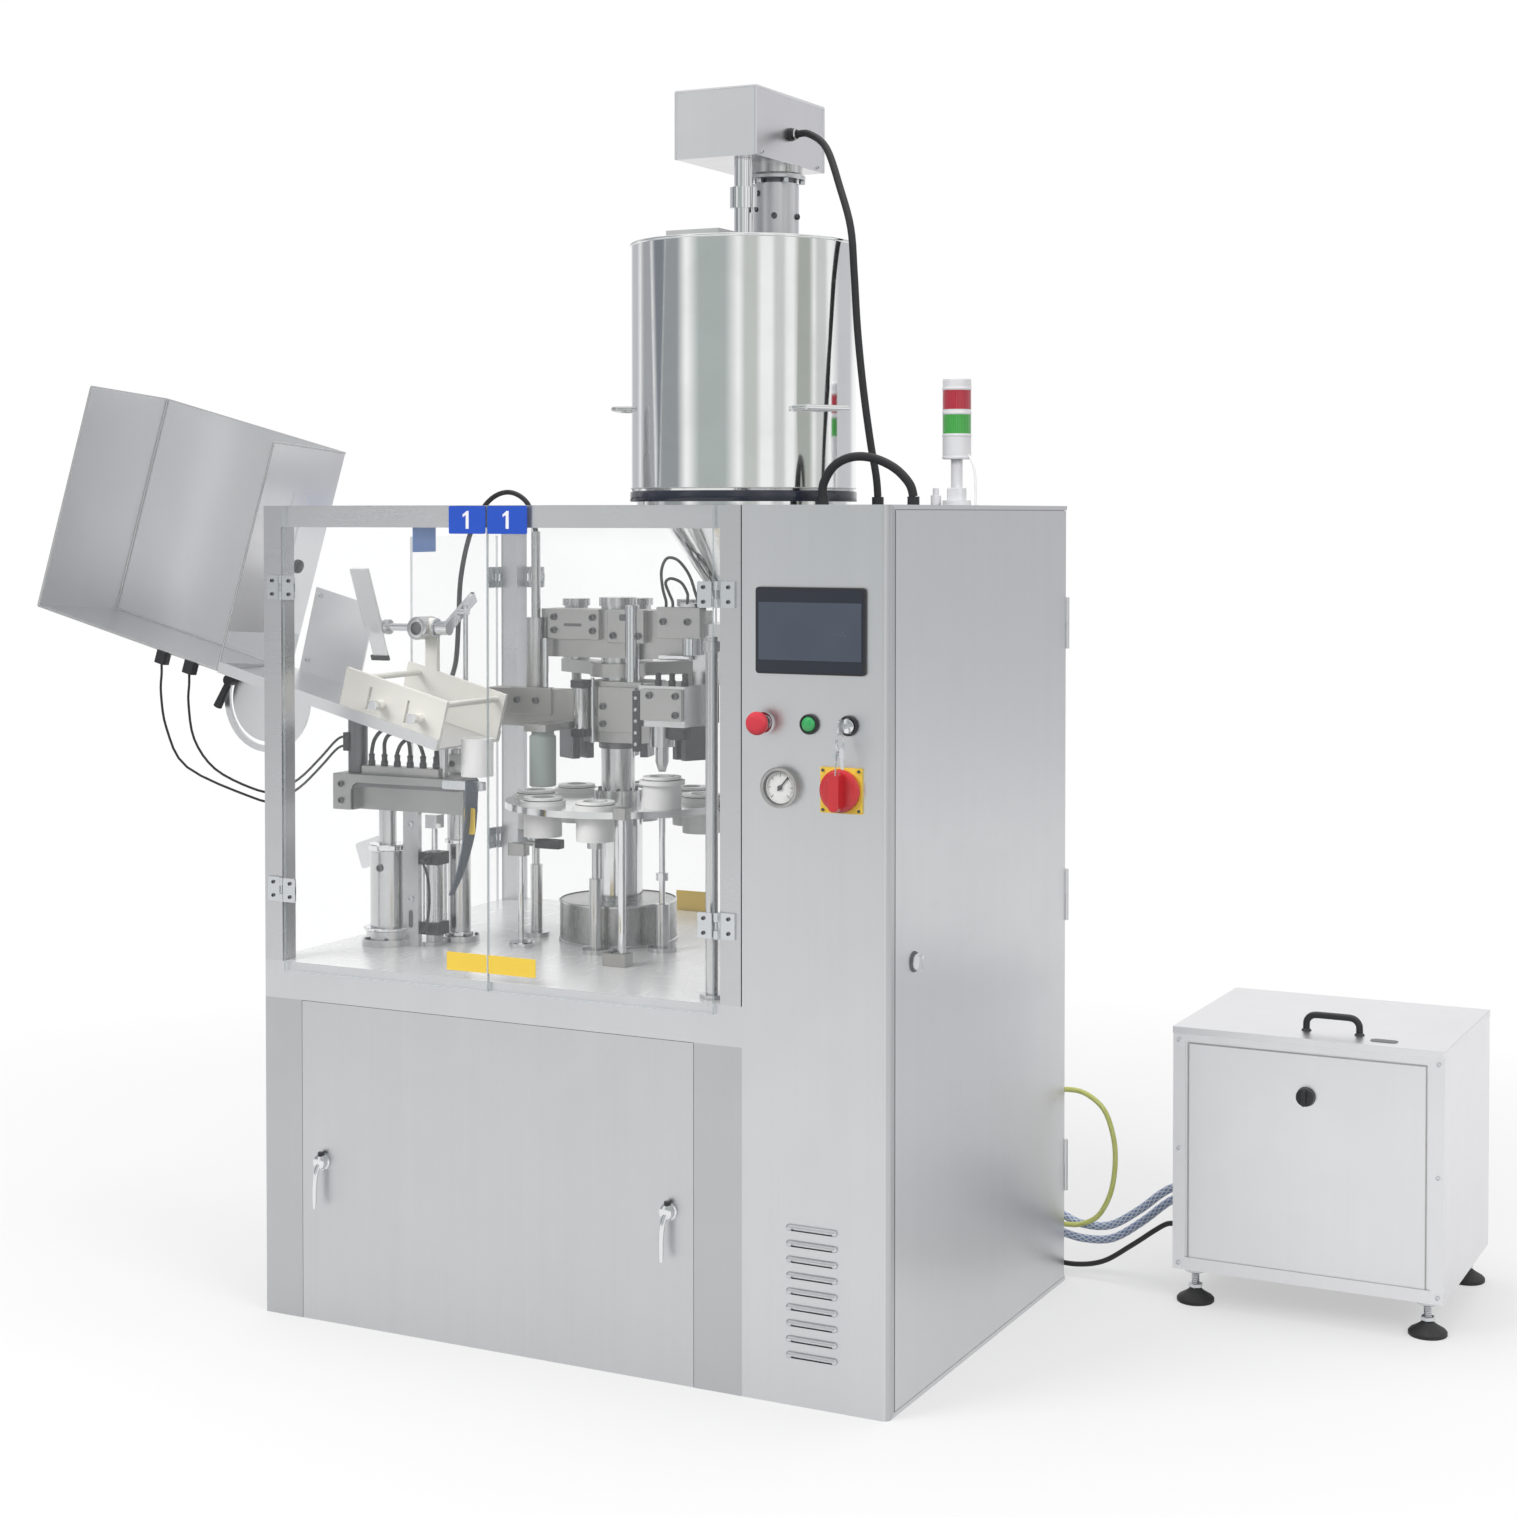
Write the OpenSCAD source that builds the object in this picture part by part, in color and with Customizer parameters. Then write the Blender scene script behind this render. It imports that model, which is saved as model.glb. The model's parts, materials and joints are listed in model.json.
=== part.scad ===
// Tube filling machine: a guarded rotary table on a steel cabinet with an electrical tower,
// a tube magazine and chute on the left, a stirred product hopper on top and a cooling unit beside it.
// Origin at the middle of the cabinet's footprint on the floor.
// +X runs right along the front, +Y to the back and +Z up.

/* [Cabinet] */
// Width of the cabinet with its tower
cab_w = 1280; // [1200:10:1400]
// Depth of the cabinet
cab_d = 860; // [820:10:960]
// Width of the electrical tower
tower_w = 272; // [262:2:300]
// Height of the lower cabinet, up to the deck
base_h = 597; // [540:1:640]
// Height of the deck tray
deck_h = 70; // [50:1:90]
// Thickness of the deck plate
deck_t = 6; // [4:1:10]
// Thickness of the sheet steel walls
sheet = 3; // [2:0.5:4]
// Thickness of the floor pan
pan_t = 4; // [3:1:6]
// Fixed strip left of the front cover
strip_left = 84; // [70:1:100]
// Fixed strip right of the front cover
strip_right = 93; // [80:1:110]
// Gap round covers and doors
seam = 0.8; // [0.5:0.1:1.5]
// Height of the swing handles on the front cover
handle_z = 300; // [200:5:400]
// Distance of each swing handle from the cover's edge
handle_in = 48; // [44:1:60]
// Length of the hanging handle lever
handle_len = 88; // [70:1:100]

/* [Guard] */
// Height of the guard frame above the deck
guard_h = 853; // [813:1:933]
// Width of the square posts and rails
post_w = 40; // [36:1:44]
// Thickness of the clear doors
door_t = 6; // [5:1:8]
// How far the doors reach below the deck plate
door_drop = 17; // [10:1:25]
// Place of the seam between the front doors
door_seam_x = -139; // [-180:1:-100]
// Free edge of the clear side door
side_door_y = 58; // [40:1:80]
// Height of one guard hinge
hinge_h = 45; // [36:1:60]
// Reach of a hinge leaf from its axis
hinge_leaf = 34; // [28:1:36]

/* [Tower] */
// Radius of the tower's front corner
tower_r = 12; // [6:1:16]
// Width of the fixed strip in front of the side door
tower_return = 27; // [22:1:40]
// Margin above and below the side door
tower_margin = 8; // [5:1:20]
// Radius of the side door's hinge knuckles
knuckle_r = 5; // [4:0.5:6]
// Height of the side door's lock
lock_z = 749; // [600:1:900]
// Width of the touch screen's frame
hmi_w = 203; // [190:1:215]
// Height of the touch screen's frame
hmi_h = 146; // [130:1:160]
// Height of the touch screen's middle
hmi_z = 1309; // [1295:1:1330]
// Drop from the touch screen's middle to the row of switches
switch_drop = 156; // [144:1:169]
// Drop from the switches to the gauge and the main switch
gauge_drop = 108; // [98:1:128]
// Radius of the gauge
gauge_r = 33; // [28:1:38]
// Radius of a panel hole for a switch
panel_hole_r = 11; // [10:0.5:12]
// Radius of the red stop head
stop_r = 20; // [18:1:24]
// Radius of the main switch's knob
knob_r = 33; // [28:1:36]
// Side of the main switch's plate
plate_w = 76; // [70:1:84]
// Number of louvres
louvres = 9; // [5:1:11]
// Width of a louvre
louvre_w = 78; // [60:1:110]
// Height from one louvre to the next
louvre_pitch = 27; // [22:1:30]
// Height of the lowest louvre
louvre_z = 86; // [70:1:120]

/* [Rotary table] */
// Middle of the table, left to right
table_x = -160; // [-170:1:-150]
// Middle of the table, front to back
table_y = 65; // [55:1:75]
// Height of the table's upper face above the deck
table_up = 276; // [263:1:283]
// Radius of the table
table_r = 222; // [218:1:230]
// Thickness of the table
table_t = 13; // [10:1:16]
// Radius of the circle of tube holders
station_r = 168; // [166:1:170]
// Number of tube holders
stations = 8; // [8:1:8]
// Radius of a tube holder's body
holder_r = 37; // [34:0.5:37]
// Radius of a tube holder's rim
holder_rim_r = 44; // [41:0.5:46]
// Bore that takes a tube
holder_bore_r = 20; // [16:0.5:26]
// Length of a holder below the table
holder_below = 48; // [40:1:52]
// Length of a holder above the table
holder_above = 15; // [12:1:20]
// Lift of the holder at the filling station
lift = 45; // [30:1:45]
// Radius of the lift rod
lift_r = 6; // [5:0.5:6]
// Radius of the middle column
column_r = 33; // [28:1:36]
// Height of the column's top above the deck
column_up = 657; // [653:1:678]
// Radius of the index drive's cover
can_r = 115; // [100:1:118]
// Height of the index drive's cover
can_h = 80; // [60:1:100]

/* [Hopper] */
// Distance of the hopper's middle from the right post
hopper_in = 211; // [206:1:216]
// Middle of the hopper, front to back
hopper_y = 70; // [60:1:80]
// Radius of the hopper
hopper_r = 215; // [205:1:216]
// Height of the hopper's upper edge above the guard
hopper_up = 496; // [430:2:520]
// Wall of the hopper
hopper_wall = 2.5; // [2:0.5:4]
// Radius of the outlet
outlet_r = 25; // [20:1:30]
// Depth of the outlet below the guard's upper edge
outlet_drop = 226; // [220:1:235]
// Radius of the stirrer shaft
stirrer_r = 18; // [14:1:20]
// Width of the stirrer drive's housing
drive_w = 172; // [150:2:190]
// Depth of the stirrer drive's housing
drive_d = 300; // [280:2:320]
// Height of the stirrer drive's housing
drive_h = 130; // [110:2:150]
// Height of the housing's underside above the hopper
drive_up = 168; // [150:1:190]

/* [Feed] */
// Inner width of the tube magazine along its slope
mag_w = 478; // [440:2:500]
// Height of the tube magazine's walls
mag_h = 465; // [420:1:480]
// Depth of the tube magazine
mag_d = 240; // [232:1:246]
// Slope of the magazine and the chute
feed_slope = 14.5; // [13:0.5:16]
// Backward lean of the magazine
mag_roll = 4; // [3:0.5:5]
// Length of the chute along its slope
chute_len = 537; // [500:1:538]
// Depth of the chute
chute_d = 220; // [212:1:226]
// Front face of the magazine and the chute
feed_y = -280; // [-285:1:-275]
// Distance of the swinging cup from its column
loader_arm = 156.5; // [150:0.5:157]
// Outer radius of the swinging cup
cup_r = 31; // [28:1:32]
// Bore of the swinging cup
cup_bore_r = 24; // [18:1:25]
// Radius of the swinging cup's spindle
spindle_r = 12; // [9:1:14]

/* [Lamp] */
// Radius of the signal lamp
lamp_r = 27; // [22:1:32]
// Height of one coloured lens
lens_h = 36; // [30:1:50]

/* [Cooling unit] */
// Width of the cooling unit
cool_w = 508; // [460:2:520]
// Depth of the cooling unit
cool_d = 430; // [400:2:460]
// Height of its casing
cool_h = 462; // [420:2:480]
// Height of its feet
cool_foot = 68; // [60:1:80]
// Gap between the cabinet and the cooling unit
cool_gap = 232; // [220:1:260]
// Front face of the cooling unit
cool_y = 385; // [380:1:400]

/* [Hidden] */
$fn = 48;
run = 0.05;
near = 0.3;
eps = 0.5;
wide = 3000;

x_l = -cab_w / 2;
x_r = cab_w / 2;
y_f = -cab_d / 2;
y_b = cab_d / 2;
x_t = x_r - tower_w;
deck_top = base_h + deck_h;
deck_under = deck_top - deck_t;
cab_h = deck_top + guard_h;
cover_x0 = x_l + strip_left;
cover_x1 = x_t - strip_right;
post_gap = 2;
handle_xs = [cover_x0 + handle_in, cover_x1 - handle_in];
handle_pin_r = 8;
x_rp = x_t - post_gap - post_w;

// Heights of the mechanism above the deck, in step with the guard frame
mech_h = 853;
function room(z) = deck_top + z * guard_h / mech_h;

// Hinges of the clear doors: the axis stands off the frame and off the post's edge
hinge_off = 7;
hinge_edge = 4;
pin_r = 2;
hinge_r = 5;
leaf_t = 4;
hinge_in = 130;
door_z0 = deck_top - door_drop;
door_z1 = cab_h;
door_h = door_z1 - door_z0;
hinge_z = [hinge_in, door_h - hinge_in - hinge_h];
axis_l = x_l + post_w + hinge_edge;
axis_r = x_rp - hinge_edge;
axis_f = y_f - hinge_off;
axis_b = y_b + hinge_off;
axis_s = x_l - hinge_off;
axis_sy = y_b - post_w - hinge_edge;
door_left_w = door_seam_x - seam - axis_l;
door_right_w = axis_r - door_seam_x - seam;
door_side_w = axis_sy - side_door_y;
door_rear_w = (axis_r - axis_l) / 2 - seam;

// Tower panel places, measured from the tower's middle
x_tm = x_t + tower_w / 2;
switch_z = hmi_z - switch_drop;
gauge_z = switch_z - gauge_drop;
hmi_x = x_tm - 6;
stop_x = x_tm - 94;
start_x = x_tm - 8;
key_x = x_tm + 64;
gauge_x = x_tm - 60;
main_x = x_tm + 51;
louvre_x = x_tm - 4;
switch_xs = [stop_x, start_x, key_x];
hmi_proud = 6;
hmi_body = 40;
hmi_rim = 6;
ring_r = 15;
ring_out = 5;
ring_in = 13.5;
button_r = 13;
hood_r = 6;
lock_y = y_f + tower_return + 80;
lock_r = 8;
knuckle_h = 50;
function knuckle_zs() = [for (k = [0.15, 0.5, 0.85]) k * cab_h];

// Rotary table heights
table_z = room(table_up);
table_low = table_z - table_t;
column_z = room(column_up);
holder_z0 = table_low - holder_below;
holder_z1 = table_z + holder_above;
station_a0 = -120;
station_step = 360 / stations;
lift_i = 2;
load_i = 7;
front_is = [0, 1, 6, 7];
rear_is = [3, 4, 5];
function station(i) = [
    table_x + station_r * cos(station_a0 + i * station_step),
    table_y + station_r * sin(station_a0 + i * station_step)
];
fill_at = station(lift_i);
load_at = station(load_i);
rod_hole_r = lift_r + 3;
can_z = deck_top + can_h;
hub_r = 48;
beam_z = [room(556), room(650)];
clamp_z = [room(392), room(511)];
arm_z = [room(433), room(511)];
press_z = [room(419), room(493)];
press_top = room(633);
press_stem = room(803);
press_pad_z = press_z[0] + 1;
press_r = 20;
press_rod_r = 6;
press_pad_r = 15;
tool_is = [4, 5, 6];
star_z = [room(519), room(545)];
tool_z = [room(413), room(455)];
jaw_z = [room(345), room(415)];
guide_z = deck_top + 91;

// Hopper and its drive
hopper_x = x_rp - hopper_in;
hopper_z = cab_h + hopper_up;
outlet_z = cab_h - outlet_drop;
collar_z = cab_h;
hopper_z0 = cab_h + 11;
shoulder_r = hopper_r - 15;
cone_r = hopper_r - 36;
bar_off = 197;
bridge_w = 110;
bridge_t = 12;
bridge_z = hopper_z + bridge_t;
drive_z0 = hopper_z + drive_up;
drive_x = [hopper_x - 0.73 * drive_w, hopper_x + 0.27 * drive_w];
drive_y0 = hopper_y - 40;
pedestal_y = hopper_y + 140;
pedestal_r = 34;
paddle_z = cab_h - 100;
blade_step = 180;
grip_z = hopper_z - 316;
valve_x = [fill_at[0] + 46, hopper_x + 55];
pump_at = [table_x + table_r + 23, hopper_y + 45];
pump_z = room(373);
nozzle_top = room(393);

// The chute's low end, by the swinging cup, and how far it drops from the magazine
chute_end_x = -356.1047;
chute_drop = 134.4541;
// Feed frame: the chute's front lower corner at the magazine, measured up the slope from the low end
feed_at = [
    chute_end_x - chute_len * cos(feed_slope), feed_y, room(530) - chute_drop + chute_len * sin(feed_slope)
];
chute_in = 4;
mag_t = 3;
mag_gate = 80;
plate_x = 300;
plate_h = 92;
plate_t = 8;
loader_at = [load_at[0] - loader_arm * cos(46.5), load_at[1] - loader_arm * sin(46.5)];
cup_at = [loader_at[0] + loader_arm * cos(-43.5), loader_at[1] + loader_arm * sin(-43.5)];
cup_z = [room(355), room(411)];
loader_arm_z = [room(339), room(353)];
hub_z = [room(333), room(367)];
loader_hub_r = 24;
cast_x = [-630, -345];
cast_y = -190;
cast_d = 70;
cast_z = [room(263), room(333)];
rocker_y = -75;
rocker_z = room(612);
rocker_x = [-640, -462];
rocker_r = 8;
bearing_x = -508;
bearing_w = 30;
bearing_r = 20;
air_at = [-440, -162];
air_r = 17;
air_z = [deck_top + 23, cast_z[0] - 80];
air_rod_r = 6;
quad_at = [-815, room(468)];
quad_r = 105;
quad_slot_r = 88;
quad_y = feed_y + 80;
quad_t = 6;
clamp_a = 155;
clamp_at = [quad_at[0] + quad_slot_r * cos(clamp_a), quad_at[1] + quad_slot_r * sin(clamp_a)];
clamp_r = 4;
quad_slot = 2 * clamp_r + 0.6;

// Signal lamp
lamp_at = [x_tm, 195];
lamp_z0 = cab_h + 88;

// Cooling unit
cool_x0 = x_r + cool_gap;
cool_x1 = cool_x0 + cool_w;
cool_y1 = cool_y + cool_d;
cool_top = cool_foot + cool_h;
foot_in = 35;
cool_xm = (cool_x0 + cool_x1) / 2;
knob_z = cool_top - 108;

// Hose and cable ends on the tower's back and top, and on the cooling unit's side
gland_r = 11;
gland_h = 16;
back_end = y_b + gland_h;
top_end = cab_h + gland_h;
cool_end = cool_x0 - gland_h;
air_ends = [[x_r - 40, 362], [x_r - 40, 95]];
water_ends = [[x_r - 65, 128], [x_r - 65, 84]];
power_end = [x_r - 95, 40];
cool_ends = [[500, 192], [530, 165], [465, 130]];
top_glands = [[x_t + 42, 40], [x_t + 148, -40]];
rail_gland = [x_rp + 19, -60];
drive_gland = [hopper_y + 105, hopper_z + 224];
feed_gland = [-500, room(483)];

// Cable and hose routes, each as steps from its first gland
function from(p, steps) = [for (s = steps) p + s];
stirrer_route = concat(
    from([drive_x[1] + gland_h, drive_gland[0], drive_gland[1]], [
        [0, 0, 0], [28, -3, -2], [75, -25, -35], [125, -70, -120], [163, -105, -200], [177, -120, -285],
        [187, -127, -390], [201, -132, -500], [217, -135, -600], [229, -135, -665]
    ]),
    [[top_glands[0][0], top_glands[0][1], top_end]]
);
hopper_route = concat(
    from([rail_gland[0], rail_gland[1], top_end], [
        [0, 0, 0], [1, 0, 24], [21, 2, 56], [55, 6, 72], [95, 11, 70], [135, 16, 52], [163, 19, 24]
    ]),
    [[top_glands[1][0], top_glands[1][1], top_end]]
);
feed_route = [
    [feed_gland[0], -58, feed_gland[1]], [-501, -40, room(485)], [-506, -10, room(501)],
    [-514, 25, room(543)], [-521, 45, room(623)], [-516, 47, room(713)], [-490, 45, room(803)],
    [-445, 40, room(863)], [-392, 32, room(881)], [-344, 25, room(859)], [load_at[0], load_at[1], press_stem]
];
air_route = concat(
    from([air_ends[0][0], back_end, air_ends[0][1]], [
        [0, 0, 0], [2, 20, 1], [22, 34, 2], [60, 38, -2], [100, 38, -30], [120, 38, -82], [124, 38, -137],
        [114, 38, -197], [88, 38, -244], [52, 38, -264], [20, 34, -267], [2, 20, -267]
    ]),
    [[air_ends[1][0], back_end, air_ends[1][1]]]
);
water_route_a = concat(
    from([water_ends[0][0], back_end, water_ends[0][1]], [
        [0, 0, 0], [2, 26, -2], [25, 54, -16], [70, 64, -36], [130, 64, -32], [190, 58, 6], [235, 54, 44],
        [261, 54, 61]
    ]),
    [[cool_end, cool_ends[0][0], cool_ends[0][1]]]
);
water_route_b = concat(
    from([water_ends[1][0], back_end, water_ends[1][1]], [
        [0, 0, 0], [2, 32, -2], [25, 60, -12], [70, 74, -24], [130, 80, -18], [190, 84, 22], [235, 84, 61],
        [261, 84, 78]
    ]),
    [[cool_end, cool_ends[1][0], cool_ends[1][1]]]
);
power_route = concat(
    from([power_end[0], back_end, power_end[1]], [
        [0, 0, 0], [2, 16, -3], [30, 22, -14], [95, 20, -18], [160, 19, -4], [220, 19, 36], [265, 19, 70],
        [291, 19, 87]
    ]),
    [[cool_end, cool_ends[2][0], cool_ends[2][1]]]
);

steel = [0.72, 0.73, 0.75];
polished = [0.82, 0.83, 0.85];
black = [0.06, 0.06, 0.07];
white = [0.92, 0.92, 0.90];
clear = [0.85, 0.93, 0.95, 0.3];
cream = [0.84, 0.82, 0.76];
red = [0.78, 0.08, 0.07];
green = [0.10, 0.55, 0.25];
yellow = [0.95, 0.78, 0.10];
blue = [0.45, 0.62, 0.85];

module block(x, y, z) {
    translate([x[0], y[0], z[0]])
        cube([x[1] - x[0], y[1] - y[0], z[1] - z[0]]);
}

module rod(at, r, z) {
    translate([at[0], at[1], z[0]])
        cylinder(r = r, h = z[1] - z[0]);
}

module rod_x(at, r, x) {
    translate([x[0], at[0], at[1]])
        rotate([0, 90, 0])
            cylinder(r = r, h = x[1] - x[0]);
}

module rod_y(at, r, y) {
    translate([at[0], y[0], at[1]])
        rotate([-90, 0, 0])
            cylinder(r = r, h = y[1] - y[0]);
}

function unit(v) = v / norm(v);

// A smooth line through the points of a route, with several steps for each stretch
function bend(a, b, c, d, t) = 0.5 * (2 * b + (c - a) * t + (2 * a - 5 * b + 4 * c - d) * t * t
    + (3 * b - a - 3 * c + d) * t * t * t);
function smooth(p, n) = [
    for (i = [0 : len(p) - 2])
        for (k = [0 : n - 1])
            bend(p[max(i - 1, 0)], p[i], p[i + 1], p[min(i + 2, len(p) - 1)], k / n),
    p[len(p) - 1]
];

// The side direction of each ring, carried along the line without turning
function carry(ways, i, u) = i == len(ways) ? []
    : let (v = unit(u - (u * ways[i]) * ways[i])) concat([v], carry(ways, i + 1, v));

// The main axis that lies nearest to a direction
function square(v) = let (m = max([for (c = v) abs(c)])) [for (c = v) abs(c) == m ? sign(c) : 0];

// A round tube along a line, with its rings set across the line and both ends flat on their glands
module cord(p, r, up, sides = 8) {
    last = len(p) - 1;
    ways = [
        for (i = [0 : last])
            let (way = unit(p[min(i + 1, last)] - p[max(i - 1, 0)]))
                i == 0 || i == last ? square(way) : way
    ];
    us = carry(ways, 0, cross(up, ways[0]));
    ring = [
        for (i = [0 : last])
            for (k = [0 : sides - 1])
                let (a = 360 * k / sides)
                    p[i] + r * (cos(a) * us[i] + sin(a) * cross(ways[i], us[i]))
    ];
    faces = concat(
        [[for (k = [sides - 1 : -1 : 0]) k]],
        [for (i = [0 : last - 1]) for (k = [0 : sides - 1]) let (n = (k + 1) % sides)
            [i * sides + k, i * sides + n, (i + 1) * sides + n, (i + 1) * sides + k]],
        [[for (k = [0 : sides - 1]) last * sides + k]]
    );
    polyhedron(points = ring, faces = [for (f = faces) [for (k = [len(f) - 1 : -1 : 0]) f[k]]]);
}

// Lower cabinet: floor pan, left and back walls and the strips beside the front cover
module base_shell() {
    color(steel)
        difference() {
            block([x_l, x_t], [y_f, y_b], [0, base_h]);
            block([x_l + sheet, x_t + eps], [y_f + sheet, y_b - sheet], [pan_t, base_h + eps]);
            block([cover_x0, cover_x1], [y_f - eps, y_f + sheet + seam], [-eps, base_h + eps]);
        }
}

module deck() {
    color(polished)
        difference() {
            block([x_l, x_t], [y_f, y_b], [base_h, deck_top]);
            block([x_l + sheet, x_t - sheet], [y_f + sheet, y_b - sheet], [base_h - eps, deck_under]);
        }
}

module guard_frame() {
    rails_z = [cab_h - post_w, cab_h];
    color(steel)
        union() {
            for (x = [x_l, x_rp])
                for (y = [y_f, y_b - post_w])
                    block([x, x + post_w], [y, y + post_w], [deck_top, cab_h]);
            for (y = [y_f, y_b - post_w])
                block([x_l, x_rp + post_w], [y, y + post_w], rails_z);
            for (x = [x_l, x_rp])
                block([x, x + post_w], [y_f, y_b], rails_z);
            block([hopper_x - bar_off - post_w / 2, hopper_x - bar_off + post_w / 2], [y_f, y_b], rails_z);
            block([min(hopper_x + bar_off - post_w / 2, x_rp - eps), x_rp + eps], [y_f, y_b], rails_z);
            rod(rail_gland, gland_r, [cab_h - eps, top_end]);
        }
}

// Tower: a full height box with a round front corner, open on the right for its side door
module tower_shell() {
    color(steel)
        difference() {
            union() {
                tower_walls();
                tower_louvres();
                tower_glands();
            }
            for (x = switch_xs)
                rod_y([x, switch_z], panel_hole_r, [y_f - eps, y_f + sheet + eps]);
            rod_y([main_x, gauge_z], panel_hole_r, [y_f - eps, y_f + sheet + eps]);
            rod_y([gauge_x, gauge_z], gauge_r - 5, [y_f - eps, y_f + sheet + eps]);
            block([hmi_x - hmi_w / 2 + hmi_rim, hmi_x + hmi_w / 2 - hmi_rim], [y_f - eps, y_f + sheet + eps],
                [hmi_z - hmi_h / 2 + hmi_rim, hmi_z + hmi_h / 2 - hmi_rim]);
            for (i = [0 : louvres - 1])
                block([louvre_x - louvre_w / 2, louvre_x + louvre_w / 2], [y_f - eps, y_f + sheet + eps],
                    [louvre_z + i * louvre_pitch - hood_r, louvre_z + i * louvre_pitch + hood_r / 2]);
        }
}

module tower_walls() {
    side = [tower_margin, cab_h - tower_margin];
    difference() {
        union() {
            block([x_t, x_r], [y_f + tower_r, y_b], [0, cab_h]);
            block([x_t, x_r - tower_r], [y_f, y_b], [0, cab_h]);
            rod([x_r - tower_r, y_f + tower_r], tower_r, [0, cab_h]);
        }
        block([x_t + sheet, x_r - sheet], [y_f + tower_r, y_b - sheet], [pan_t, cab_h - sheet]);
        block([x_t + sheet, x_r - tower_r], [y_f + sheet, y_b - sheet], [pan_t, cab_h - sheet]);
        block([x_r - knuckle_r - near, x_r + eps], [y_f + tower_return, y_b + eps], side);
    }
    for (z = knuckle_zs()) {
        rod([x_r, y_b], knuckle_r, [z - knuckle_h, z - near]);
        block([x_r - 3 * knuckle_r, x_r], [y_b - sheet, y_b], [z - knuckle_h, z - near]);
        rod([x_r, y_b], pin_r, [z - knuckle_h, z + knuckle_h]);
    }
}

module tower_louvres() {
    for (i = [0 : louvres - 1]) {
        z = louvre_z + i * louvre_pitch;
        difference() {
            rod_x([y_f, z], hood_r, [louvre_x - louvre_w / 2 - sheet, louvre_x + louvre_w / 2 + sheet]);
            rod_x([y_f, z], hood_r - 2, [louvre_x - louvre_w / 2, louvre_x + louvre_w / 2]);
            block([louvre_x - louvre_w, louvre_x + louvre_w], [y_f - 2 * hood_r, y_f + sheet],
                [z - 2 * hood_r, z]);
        }
    }
}

module tower_glands() {
    for (p = concat(air_ends, water_ends, [power_end]))
        rod_y(p, gland_r, [y_b - eps, back_end]);
    for (p = top_glands)
        rod(p, gland_r, [cab_h - eps, top_end]);
}

// Controls inside the tower: a mounting plate on the left wall with drives, relays and terminals
module control_plate() {
    plate = [x_t + sheet, x_t + 2 * sheet];
    face = plate[1] - eps;
    color(white)
        union() {
            block(plate, [y_f + 60, y_b - 60], [120, 1120]);
            for (i = [0 : 2])
                block([face, face + 120], [y_f + 100 + i * 200, y_f + 240 + i * 200], [760, 1040]);
            for (i = [0 : 7])
                block([face, face + 80], [y_f + 100 + i * 80, y_f + 160 + i * 80], [480, 590]);
            block([face, face + 50], [y_f + 90, y_b - 90], [220, 280]);
        }
}

// One hinge leaf on the frame, with its two knuckles and its pin, in the door's own frame
module fixed_leaf(z) {
    third = hinge_h / 3;
    union() {
        block([-hinge_leaf, -hinge_r - near], [hinge_off - leaf_t, hinge_off], [z, z + hinge_h]);
        for (k = [0, 2]) {
            span = [z + k * third, z + (k + 1) * third - (k == 0 ? near : 0)];
            rod([0, 0], hinge_r, span);
            block([-hinge_r - 1, 0], [0, hinge_off], span);
        }
        rod([0, 0], pin_r, [z, z + hinge_h]);
    }
}

// A clear door in its own frame: the hinge axis at the origin, the door along +X and the outside at -Y
module clear_door(w, h) {
    third = hinge_h / 3;
    back = hinge_off - 2;
    difference() {
        union() {
            block([hinge_r + 1, w], [back - door_t, back], [0, h]);
            for (z = hinge_z) {
                span = [z + third + near, z + 2 * third - near];
                block([0, hinge_leaf], [-hinge_r, back - door_t + eps], span);
                rod([0, 0], hinge_r, span);
            }
        }
        for (z = hinge_z)
            rod([0, 0], pin_r + run, [z, z + hinge_h]);
    }
}

module at_door_left() {
    translate([axis_l, axis_f, door_z0])
        children();
}

module at_door_right() {
    translate([axis_r, axis_f, door_z0])
        mirror([1, 0, 0])
            children();
}

module at_door_side() {
    translate([axis_s, axis_sy, door_z0])
        rotate([0, 0, -90])
            children();
}

module at_rear_left() {
    translate([axis_l, axis_b, door_z0])
        mirror([0, 1, 0])
            children();
}

module at_rear_right() {
    translate([axis_r, axis_b, door_z0])
        rotate([0, 0, 180])
            children();
}

module door_hinges() {
    color(polished)
        for (z = hinge_z) {
            at_door_left() fixed_leaf(z);
            at_door_right() fixed_leaf(z);
            at_door_side() fixed_leaf(z);
            at_rear_left() fixed_leaf(z);
            at_rear_right() fixed_leaf(z);
        }
}

module guard_door_left() {
    color(clear)
        at_door_left() clear_door(door_left_w, door_h);
}

module guard_door_right() {
    color(clear)
        at_door_right() clear_door(door_right_w, door_h);
}

module guard_door_side() {
    color(clear)
        at_door_side() clear_door(door_side_w, door_h - post_w - door_drop - hinge_r);
}

module guard_door_rear_left() {
    color(clear)
        at_rear_left() clear_door(door_rear_w, door_h);
}

module guard_door_rear_right() {
    color(clear)
        at_rear_right() clear_door(door_rear_w, door_h);
}

// Lift-off cover in front of the lower cabinet, with a bore for each swing handle
module front_cover() {
    color(steel)
        difference() {
            union() {
                block([cover_x0 + seam, cover_x1 - seam], [y_f, y_f + sheet], [seam, base_h - seam]);
                for (x = handle_xs)
                    rod_y([x, handle_z], 2 * handle_pin_r, [y_f + sheet - eps, y_f + 4 * sheet]);
            }
            for (x = handle_xs)
                rod_y([x, handle_z], handle_pin_r + run, [y_f - eps, y_f + 5 * sheet]);
        }
}

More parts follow.
